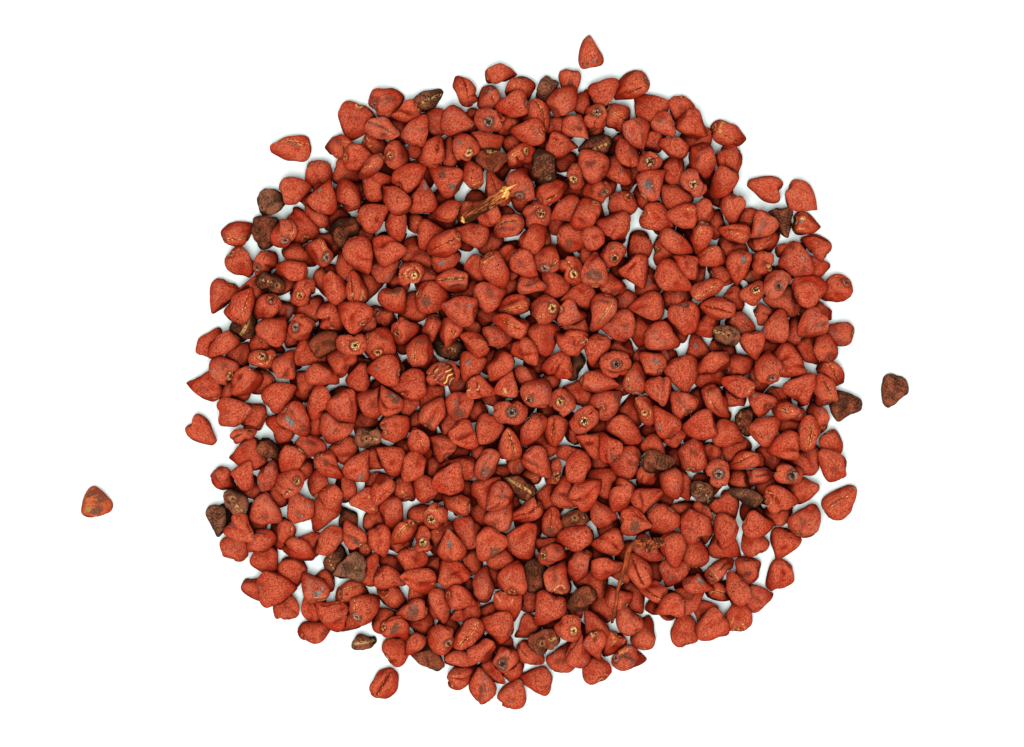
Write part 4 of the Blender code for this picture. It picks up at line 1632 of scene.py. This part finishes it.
@dataclass(frozen=True)
class PaleFloor:
    """A plain white board."""

    name: str = "plain_white_board"
    white: Colour = (0.84, 0.92, 0.90)
    shade: Colour = (0.81, 0.89, 0.87)
    gloss: float = 0.2
    relief: float = 0.01

    def material(self) -> Material:
        """Builds the finish."""
        bench = Bench(self.name, self.white)
        bench.place = bench.node("ShaderNodeTexCoord", {}, {}).outputs["Object"]
        cloud = bench.noise(9.0, 2.0)
        bench.lay((cloud.rise(0.3, 0.7), self.shade))
        return bench.finish(0.9, cloud, self.relief, self.gloss)


@dataclass
class SeedHeap:
    """The heap and the strays beside it, as one piece for each kind and one for each stray."""

    layers: tuple[Layer, ...] = (Layer(430, 1.9, 0.5, 0.02), Layer(270, 5.5, 0.53, 0.03))
    heap_draw: int = 20611
    look_draw: int = 4127
    grids: tuple[tuple[float, SkinGrid], ...] = (
        (4.0, SkinGrid(27, 29)),
        (1.2, SkinGrid(18, 20)),
        (0.0, SkinGrid(12, 14)),
    )
    floor_gap: float = 0.01
    brown_area: float = 5.0
    red_instead: tuple[Kind, ...] = (Kind.BROAD, Kind.SLENDER)
    chart_margin: float = 0.05
    node: str = "seed_heap"

    def __post_init__(self) -> None:
        """Lays the strays, then drops the heap's seeds."""
        self.bed = Bed()
        self.lay_strays()
        self.lay_heap()
        self.shown = self.bed.shown_area()
        self.looks = self.looked_kinds()
        TornSeed().cover(self.bed)
        log.info("%d seeds lie on the bed", len(self.bed.seeds))

    def lay_strays(self) -> None:
        """Lays the strays on the floor, each with its lowest point just clear of it."""
        for stray in STRAYS:
            size = (stray.length, stray.breadth, stray.thickness)
            form = Form(*size, stray.taper, STRAY_WEDGE, 0.0, STRAY_SKEW)
            turn, roll = radians(stray.bearing), radians(stray.roll)
            low = (form.points(self.bed.laid_ways) @ turned(turn, 0.0, roll).T)[:, 2].min()
            place = Place(stray.x, stray.y, self.bed.gap - float(low), turn, 0.0, roll)
            self.bed.lay(Laid(form, place, stray.kind))

    def lay_heap(self) -> None:
        """Drops the heap's seeds: first those that reach the floor, then those that lie on them."""
        draw = default_rng(self.heap_draw)
        kinds = list(Kind)
        kind_shares = [kind.value.share for kind in kinds]
        lie_shares = [lie.share for lie in LIES]
        for layer in self.layers:
            targets = layer.targets()
            for step in draw.permutation(layer.seeds):
                kind = kinds[draw.choice(len(kinds), p=kind_shares)]
                lie = LIES[draw.choice(len(LIES), p=lie_shares)]
                form = self.drawn_form(kind.value, draw)
                place = self.bed.settle(form, lie, *targets[step], layer.inset, layer.pull, draw)
                self.bed.lay(Laid(form, place, kind))

    @staticmethod
    def drawn_form(habit: Habit, draw: Generator) -> Form:
        """A seed of this habit with its own size and proportions.

        Args:
            habit: the habit of its kind.
            draw: the source of random numbers.

        Returns:
            The seed's form.
        """
        length = float(np.clip(draw.normal(LENGTH, LENGTH_SPREAD), SHORTEST, LONGEST))
        breadth = length * draw.normal(habit.breadth, RATIO_SPREAD)
        thickness = length * draw.normal(habit.thickness, RATIO_SPREAD)
        taper, wedge = draw.uniform(*TAPER), draw.uniform(*WEDGE)
        bend = habit.bend * float(draw.choice((-1, 1))) * draw.uniform(*BEND_SHARE)
        return Form(length, breadth, thickness, taper, wedge, bend, draw.uniform(-SKEW, SKEW))

    def looked_kinds(self) -> list[Kind]:
        """The kind that each seed looks like: of those that show well, the ones nearest to the brown
        places are brown, and the others are red.

        Returns:
            A kind for each seed.
        """
        red = cycle(self.red_instead)
        looks = [next(red) if seed.kind is Kind.BROWN else seed.kind for seed in self.bed.seeds]
        middles = np.array([seed.place.middle()[:2] for seed in self.bed.seeds])
        clear = self.shown > self.brown_area
        clear[: len(STRAYS)] = False
        for place in BROWN_PLACES:
            apart = np.linalg.norm(middles - place, axis=1)
            looks[int(np.where(clear, apart, np.inf).argmin())] = Kind.BROWN
        return looks

    def skins(self) -> list[Skin]:
        """The finished skin of every seed, where it lies."""
        draw = default_rng(self.look_draw)
        maker, shaper = TraitMaker(), SkinShaper()
        found = []
        for number, seed in enumerate(self.bed.seeds):
            traits = maker.draw(self.looks[number], draw)
            grid = self.grid_of(self.shown[number])
            if number < len(STRAYS):
                stray = STRAYS[number]
                own = maker.draw(stray.kind, default_rng(stray.draw))
                traits = self.stray_traits(stray, own)
                grid = replace(grid, crowded_side=radians(stray.groove_turn))
            skin = shaper.shape(seed.form, traits, grid)
            matrix, middle = seed.place.matrix(), seed.place.middle()
            points = skin.points @ matrix.T + middle
            points[:, 2] = np.maximum(points[:, 2], self.floor_gap)
            even = seed.form.points(grid.ways()) @ matrix.T + middle
            found.append(replace(skin, points=points, sky=self.bed.openness(even)))
        return found

    @staticmethod
    def stray_traits(stray: Stray, traits: Traits) -> Traits:
        """The drawn traits with what is known of this stray's look.

        Args:
            stray: the stray.
            traits: its drawn traits.

        Returns:
            The traits it gets.
        """
        names = ("tone", "wear", "beak", "hook", "stained", "bared")
        own = {name: getattr(stray, name) for name in names}
        turn = radians(stray.groove_turn)
        face, across = np.array([0.0, cos(turn), sin(turn)]), np.array([0.0, -sin(turn), cos(turn)])
        notch = replace(traits.notch, depth=stray.notch)
        groove = replace(traits.groove, depth=stray.groove, face=face, across=across)
        return replace(traits, creases=(), notch=notch, groove=groove, **own)

    def grid_of(self, shown: float) -> SkinGrid:
        """The grid for a seed of which so much shows: the more, the finer."""
        return next(grid for area, grid in self.grids if shown >= area)

    def joined(self, name: str, skins: list[Skin]) -> Piece:
        """One piece of several seeds, each with its own cell of the chart.

        Args:
            name: the piece's name.
            skins: the seeds' skins.

        Returns:
            The piece in the making.
        """
        grids = {len(grid.ways()): grid for _, grid in self.grids}
        across = ceil(sqrt(len(skins)))
        faces: Faces = []
        charts = []
        first = 0
        for number, skin in enumerate(skins):
            grid = grids[len(skin.points)]
            faces += [tuple(first + corner for corner in face) for face in grid.faces()]
            corner = np.array([number % across, number // across]) + self.chart_margin
            charts.append((corner + grid.chart() * (1 - 2 * self.chart_margin)) / across)
            first += len(skin.points)
        fields = {name: np.vstack([getattr(skin, name) for skin in skins]) for name in SKIN_FIELDS}
        points = np.vstack([skin.points for skin in skins])
        return Piece(name, points, faces, fields, np.vstack(charts))

    def build(self, red: Material, brown: Material) -> None:
        """Makes the pieces.

        Args:
            red: the finish of sound seeds.
            brown: the finish of shrivelled ones.
        """
        skins = self.skins()
        finishes = {kind: (red, "seed_red") for kind in Kind}
        finishes[Kind.BROWN] = (brown, "seed_brown")
        for number, stray in enumerate(STRAYS):
            piece = self.joined(f"stray_{number + 1}", [skins[number]])
            piece.make(*finishes[stray.kind], (f"stray_seed_{number + 1}",))
        for kind in Kind:
            chosen = [skins[n] for n in range(len(STRAYS), len(skins)) if self.looks[n] is kind]
            self.joined(kind.piece, chosen).make(*finishes[kind], (self.node,))


@dataclass
class Tube:
    """A bent rod: its rings' middles, and the radius of each column of each ring."""

    middles: np.ndarray
    radii: np.ndarray

    @staticmethod
    def with_ends(values: np.ndarray) -> np.ndarray:
        """Values of rings and columns in one list, between those of the rod's two end points."""
        flat = values.reshape(-1, values.shape[-1])
        return np.vstack([values[0].mean(axis=0), flat, values[-1].mean(axis=0)])

    def rings(self) -> np.ndarray:
        """The points of each ring."""
        along = np.gradient(self.middles, axis=0)
        along /= np.linalg.norm(along, axis=1, keepdims=True)
        side = np.cross(along, (0.0, 0.0, 1.0))
        side /= np.linalg.norm(side, axis=1, keepdims=True)
        up = np.cross(side, along)
        around = bearings(self.radii.shape[1])
        spokes = side[:, None] * np.cos(around)[None, :, None] + up[:, None] * np.sin(around)[None, :, None]
        return self.middles[:, None] + spokes * self.radii[..., None]

    def piece(self, name: str, place: tuple[Any, ...], marks: tuple[Any, ...]) -> Piece:
        """The rod as a piece.

        Args:
            name: the piece's name.
            place: the three numbers of each point's place, for every ring, every column or both.
            marks: the same for its marks.

        Returns:
            The piece in the making.
        """
        fields = {}
        for field, numbers in (("place", place), ("marks", marks)):
            spread = np.broadcast_arrays(*numbers, self.radii)[:-1]
            fields[field] = self.with_ends(np.stack(spread, axis=-1))
        grid = SkinGrid(*self.radii.shape)
        faces, chart = turned_over(grid.faces(), grid.chart())
        return Piece(name, self.with_ends(self.rings()), faces, fields, chart)


@dataclass
class Twig:
    """A broken twig: the middles of its cut end and of its torn end, its thickness and its wear."""

    cut: Pair = (-8.9, 21.9)
    torn: Pair = (-2.6, 25.8)
    thickness: float = 1.55
    splinter: float = 2.05
    splinter_radius: float = 0.27
    splinter_taper: float = 1.1
    splinter_shift: float = 0.38
    splinter_return: float = 0.3
    shift_length: float = 0.4
    tear_length: float = 0.15
    tooth_waves: tuple[tuple[int, float], ...] = ((5, 0.22), (9, 0.14))
    overhang: float = 0.12
    bare_length: float = 0.6
    bare_edge: float = 0.3
    slant: float = 0.5
    slant_turn: float = 0.4
    rim_round: float = 0.35
    bare_rim: float = 0.22
    worn_end: float = 0.8
    worn_length: float = 1.5
    ridge_waves: tuple[tuple[int, float], ...] = ((3, 0.08), (5, 0.06), (8, 0.045), (11, 0.03))
    ridge_drift: float = 0.4
    least_radius: float = 0.015
    columns: int = 28
    rings: int = 90
    gap: float = 0.08
    tests: int = 15
    slopes: int = 61
    steepest: float = 0.3
    look_draw: int = 77

    def lie(self, bed: Bed) -> Pair:
        """Where it balances on the seeds below it.

        Args:
            bed: the seeds.

        Returns:
            The height of its middle, and its slope.
        """
        run = hypot(self.torn[0] - self.cut[0], self.torn[1] - self.cut[1])
        shares = np.linspace(0, 1, self.tests)
        offsets = (shares - 0.5) * run
        needed = []
        for share in shares:
            x = self.cut[0] + (self.torn[0] - self.cut[0]) * share
            y = self.cut[1] + (self.torn[1] - self.cut[1]) * share
            needed.append(bed.highest_near(x, y, self.thickness / 2))
        slopes = np.linspace(-self.steepest, self.steepest, self.slopes)
        heights = [(np.array(needed) - offsets * slope).max() for slope in slopes]
        best = int(np.argmin(np.round(heights, DECIMALS)))
        return heights[best] + self.thickness / 2 + self.gap, float(slopes[best])

    def build(self, bed: Bed, material: Material) -> None:
        """Makes the piece.

        Args:
            bed: the seeds it lies on.
            material: its finish.
        """
        height, slope = self.lie(bed)
        start, end = np.array(self.cut), np.array(self.torn)
        run = float(np.linalg.norm(end - start))
        total = run + self.splinter
        draw = default_rng(self.look_draw)
        around = bearings(self.columns)
        share = np.linspace(0, 1, self.rings)[:, None]
        out = share * total
        past = out - run - self.teeth(around, draw)
        tear = eased(past, 0.0, self.tear_length)
        cut_back = self.slant * (0.5 + 0.5 * np.sin(around - self.slant_turn))
        blunt = np.clip((out - cut_back) / self.rim_round, 0, 1)
        radii = self.thickness / 2 * np.sqrt(blunt * (2 - blunt))
        radii *= self.worn_end + (1 - self.worn_end) * eased(out, 0.0, self.worn_length)
        radii *= self.bark_ridges(out, around, draw)
        thin = self.splinter_radius * (self.splinter_taper - eased(out, run, total))
        radii = np.maximum(radii * (1 - tear) + thin * tear, self.least_radius)
        middles = np.zeros((self.rings, 3))
        ahead = (end - start) / run
        shift = self.splinter_shift * eased(out, run, run + self.shift_length)
        shift = shift * (1 - self.splinter_return * eased(out, run, total))
        middles[:, :2] = start + ahead * out + np.array([-ahead[1], ahead[0]]) * shift
        middles[:, 2:] = height + slope * (share * total - run / 2)
        bare = eased(past, -self.bare_length, self.bare_edge - self.bare_length)
        bare = np.maximum(bare, 1 - eased(out - cut_back, 0.0, self.bare_rim))
        sides = (np.cos(around) * self.thickness / 2, np.sin(around) * self.thickness / 2)
        # The third mark, the cosine about the twig, sets the bark's painted shade on its lower-right side.
        piece = Tube(middles, radii).piece("broken_twig", (out, *sides), (share, bare, np.cos(around)))
        piece.make(material, "twig_bark", ("twig",))

    def teeth(self, around: np.ndarray, draw: Generator) -> np.ndarray:
        """How far the torn end's teeth reach past the break, the upper side's furthest.

        Args:
            around: the bearings about the twig.
            draw: the source of random numbers.

        Returns:
            The reach at each bearing.
        """
        (broad, high), (narrow, low) = self.tooth_waves
        jagged = high * np.sin(broad * around + draw.uniform(0, tau)) + low * np.sin(narrow * around)
        return jagged - self.overhang * np.cos(around)

    def bark_ridges(self, out: np.ndarray, around: np.ndarray, draw: Generator) -> np.ndarray:
        """The bark's lengthwise ridges and its few bumps.

        Args:
            out: how far along each ring is.
            around: the bearings about the twig.
            draw: the source of random numbers.

        Returns:
            A factor on the radius of each point.
        """
        ridges = np.zeros((len(out), len(around)))
        for count, size in self.ridge_waves:
            drift = draw.uniform(-self.ridge_drift, self.ridge_drift)
            ridges += size * np.sin(count * around + drift * out + draw.uniform(0, tau))
        bumps = 0.07 * np.sin(1.7 * out + 2 * around) + 0.05 * np.sin(3.9 * out)
        bumps += 0.03 * np.sin(9.5 * out + 3 * around) * np.sin(2.3 * out + around)
        return 1 + ridges + bumps


@dataclass
class Stalk:
    """A dried stalk: its route seen from above, from the flower's foot to the thin end."""

    route: tuple[Pair, ...] = (
        (19.4, -22.6), (17.9, -23.0), (16.3, -22.8), (14.9, -23.3), (14.3, -24.5),
        (14.0, -26.0), (13.4, -27.9), (12.9, -29.8), (12.7, -31.8), (12.2, -34.2),
    )
    radii: tuple[float, ...] = (0.50, 0.66, 0.66, 0.44, 0.38, 0.34, 0.28, 0.25, 0.24, 0.20)
    point_at: float = 2.2
    point_length: float = 1.3
    point_width: float = 0.4
    foot_length: float = 4.0
    foot_ease: Pair = (0.75, 1.25)
    ridges: int = 5
    ridge_height: float = 0.06
    ridge_drift: float = 0.8
    lump_waves: int = 6
    lump_speed: Pair = (2.0, 7.0)
    lump_turns: tuple[int, int] = (1, 6)
    lump_share: float = 5.0
    lump_height: float = 0.12
    foot_lump_height: float = 0.30
    foot_round: float = 0.25
    end_round: float = 0.15
    least_end: float = 0.02
    columns: int = 18
    steps: int = 12
    side_room: float = 0.6
    gap: float = 0.08
    look_draw: int = 91

    def taut_heights(self, bed: Bed) -> list[float]:
        """The heights of the route's points, bridging from seed to seed as a stiff stalk does.

        Args:
            bed: the seeds it lies on.

        Returns:
            A height for each point.
        """
        heights = []
        for (x, y), radius in zip(self.route, self.radii):
            heights.append(bed.highest_near(x, y, radius + self.side_room) + radius + self.gap)
        taut = list(heights)
        for first in range(len(heights)):
            for last in range(first + 2, len(heights)):
                for between in range(first + 1, last):
                    share = (between - first) / (last - first)
                    level = heights[first] * (1 - share) + heights[last] * share
                    taut[between] = max(taut[between], level)
        return taut

    def smooth_route(self, bed: Bed) -> tuple[np.ndarray, np.ndarray]:
        """A smooth curve through the route's points.

        Args:
            bed: the seeds it lies on.

        Returns:
            The points along it, and the radius at each.
        """
        rows = [Vector((*place, height)) for place, height in zip(self.route, self.taut_heights(bed))]
        count = len(rows)
        points, radii = [], []
        for number in range(count - 1):
            before, start = rows[max(number - 1, 0)], rows[number]
            end, after = rows[number + 1], rows[min(number + 2, count - 1)]
            for step in range(self.steps):
                t = step / self.steps
                point = (
                    (2 * start)
                    + (end - before) * t
                    + (2 * before - 5 * start + 4 * end - after) * t * t
                    + (3 * start - before - 3 * end + after) * t * t * t
                ) / 2
                points.append(tuple(point))
                ease = eased(t, 0, 1)
                radii.append(self.radii[number] * (1 - ease) + self.radii[number + 1] * ease)
        return np.array([*points, tuple(rows[-1])]), np.array([*radii, self.radii[-1]])

    def build(self, bed: Bed, material: Material) -> None:
        """Makes the piece.

        Args:
            bed: the seeds it lies on.
            material: its finish.
        """
        middles, radii = self.smooth_route(bed)
        draw = default_rng(self.look_draw)
        steps = np.linalg.norm(np.diff(middles, axis=0), axis=1)
        out = np.concatenate([[0], np.cumsum(steps)])[:, None]
        radii = radii[:, None]
        around = bearings(self.columns)
        swollen = 1 - eased(out, *(self.foot_length * share for share in self.foot_ease))
        lumps = np.zeros((len(out), len(around)))
        for _ in range(self.lump_waves):
            speed, turns = draw.uniform(*self.lump_speed), draw.integers(*self.lump_turns)
            lumps += np.sin(speed * out + turns * around + draw.uniform(0, tau)) / self.lump_share
        scale = 1 + self.ridge_height * np.sin(self.ridges * around + self.ridge_drift * out)
        scale = scale + lumps * (self.lump_height + self.foot_lump_height * swollen)
        hanging = np.clip(-np.cos(around), 0, 1) ** 3
        scale += self.point_length * bell(out - self.point_at, self.point_width) * hanging
        ends = np.minimum(out / self.foot_round, (out[-1] - out) / self.end_round)
        tube = Tube(middles, radii * scale * np.sqrt(np.clip(ends, self.least_end, 1)))
        # The place's third number, the height about the middle, sets the skin's painted shade below.
        place = (out, radii * np.cos(around), radii * np.sin(around))
        piece = tube.piece("dried_stalk", place, (out / out[-1], swollen, lumps))
        piece.make(material, "stalk_brown", ("stalk",))


@dataclass
class TornSeed:
    """A scrap of a torn seed with its folds showing, which lies on the heap left of its middle."""

    x: float = -11.0
    y: float = 0.55
    form: Form = Form(length=3.5, breadth=3.1, thickness=2.6, taper=0.20, wedge=0.1, bend=0.25, skew=0.1)
    bearing: float = -48.0
    roll: float = 0.1
    folds: float = 0.64
    fold_depth: float = 0.24
    fold_sharpness: float = 2.2
    folded_side: Pair = (-0.2, 0.4)
    rest_reach: float = 0.5
    cover_radius: float = 1.45
    raised: float = 1.1
    look_draw: int = 19
    grid: SkinGrid = SkinGrid(44, 40, 0.0, 0.0)

    def cover(self, bed: Bed) -> None:
        """Raises the bed below it, so that the seeds round about get painted shade from it."""
        row, column = np.indices(bed.height.shape) * bed.cell_size - bed.half_bed
        bed.height[np.hypot(row - self.x, column - self.y) < self.cover_radius] += self.raised

    def build(self, bed: Bed, material: Material) -> None:
        """Makes the piece.

        Args:
            bed: the seeds it lies on.
            material: its finish.
        """
        ways = self.grid.ways()
        traits = TraitMaker().draw(Kind.BENT, default_rng(self.look_draw))
        shaper = SkinShaper()
        points = shaper.flatten(self.form.points(ways), traits)
        shaper.swell(points, traits)
        crest = self.crests(points, ways)
        points += ways * (self.fold_depth * (crest - 0.5))[:, None]
        low, top = points[:, 2].min(), points[:, 2].max()
        middle = (self.x, self.y, bed.highest_near(self.x, self.y, self.rest_reach) - top)
        placed = points @ turned(radians(self.bearing), 0.0, self.roll).T + middle
        high = (points[:, 2] - low) / (top - low)
        fields = {"place": points, "marks": np.stack([crest, points[:, 0], high], axis=1)}
        piece = Piece("torn_seed", placed, self.grid.faces(), fields, self.grid.chart())
        piece.make(material, "seed_red", ("seed_heap",))

    def crests(self, points: np.ndarray, ways: np.ndarray) -> np.ndarray:
        """How near each point is to the crest of a fold: wavering folds on the upper side.

        Args:
            points: the scrap's skin.
            ways: the direction of each point from its middle.

        Returns:
            From 0 in the valleys and below to 1 on the strongest crests.
        """
        x, y = points[:, 0], points[:, 1]
        stray = 0.20 * np.sin(2.0 * y + 0.6) + 0.09 * np.sin(5.3 * y + x)
        wave = np.cos(tau * (x + stray) / self.folds)
        strength = 0.75 + 0.25 * np.sin(3.1 * x + 1.7 * y)
        return (0.5 + 0.5 * wave) ** self.fold_sharpness * eased(ways[:, 2], *self.folded_side) * strength


@dataclass
class Studio:
    """A plain white floor under soft light, seen from straight above."""

    frame_width: float = 143.36
    look_at: Pair = (-1.75, 0.70)
    look_height: float = 3.0
    camera_height: float = 800.0
    sensor: float = 36.0
    clip: Pair = (0.01, 10.0)
    floor_size: float = 3.0
    sky: Colour = (0.96, 1.0, 1.0)
    sky_strength: float = 0.88
    lamp_size: float = 0.30
    lamp_place: Triple = (-0.03, -0.14, 0.80)
    lamp_power: float = 6.8
    lamp_colour: Colour = (1.0, 0.99, 0.97)

    def build(self) -> None:
        """Makes the floor, the lights and the camera."""
        self.add_floor()
        self.add_sky()
        self.add_lamp()
        self.add_camera()
        bpy.context.scene.view_settings.view_transform = "Standard"

    def add_floor(self) -> None:
        """Lays the floor at the height that the heap rests on."""
        half = self.floor_size / 2
        mesh = bpy.data.meshes.new("floor")
        corners = [(-half, -half, 0), (half, -half, 0), (half, half, 0), (-half, half, 0)]
        mesh.from_pydata(corners, [], [(0, 1, 2, 3)])
        mesh.materials.append(PaleFloor().material())
        put("floor", mesh)

    def add_sky(self) -> None:
        """Lights everything evenly from all round."""
        world = bpy.data.worlds.new("soft_white_room")
        world.use_nodes = True
        background = world.node_tree.nodes["Background"]
        background.inputs["Color"].default_value = (*self.sky, 1.0)
        background.inputs["Strength"].default_value = self.sky_strength
        bpy.context.scene.world = world

    def add_lamp(self) -> None:
        """Hangs a large soft lamp above, a little to the viewer's side."""
        lamp = bpy.data.lights.new("soft_lamp", "AREA")
        lamp.shape = "SQUARE"
        lamp.size = self.lamp_size
        lamp.energy = self.lamp_power
        lamp.color = self.lamp_colour
        thing = put("soft_lamp", lamp)
        thing.location = self.lamp_place
        thing.rotation_euler = Vector(self.lamp_place).to_track_quat("Z", "Y").to_euler()
        thing.visible_camera = False

    def add_camera(self) -> None:
        """Looks straight down, with the photograph's frame across the heap's middle height."""
        camera = bpy.data.cameras.new("camera")
        camera.sensor_width = self.sensor
        camera.lens = self.sensor * (self.camera_height - self.look_height) / self.frame_width
        camera.clip_start, camera.clip_end = self.clip
        thing = put("camera", camera)
        thing.location = (self.look_at[0] * MM, self.look_at[1] * MM, self.camera_height * MM)
        bpy.context.scene.camera = thing


def main() -> None:
    """Builds the heap and what lies on it, then the floor, the lights and the camera."""
    logging.basicConfig(level=logging.INFO, format="%(name)s: %(message)s")
    heap = SeedHeap()
    heap.build(SeedCoat().material(), ShrivelledCoat().material())
    Twig().build(heap.bed, TwigBark().material())
    Stalk().build(heap.bed, StalkSkin().material())
    TornSeed().build(heap.bed, TornFlesh().material())
    Studio().build()


if __name__ == "__main__":
    main()
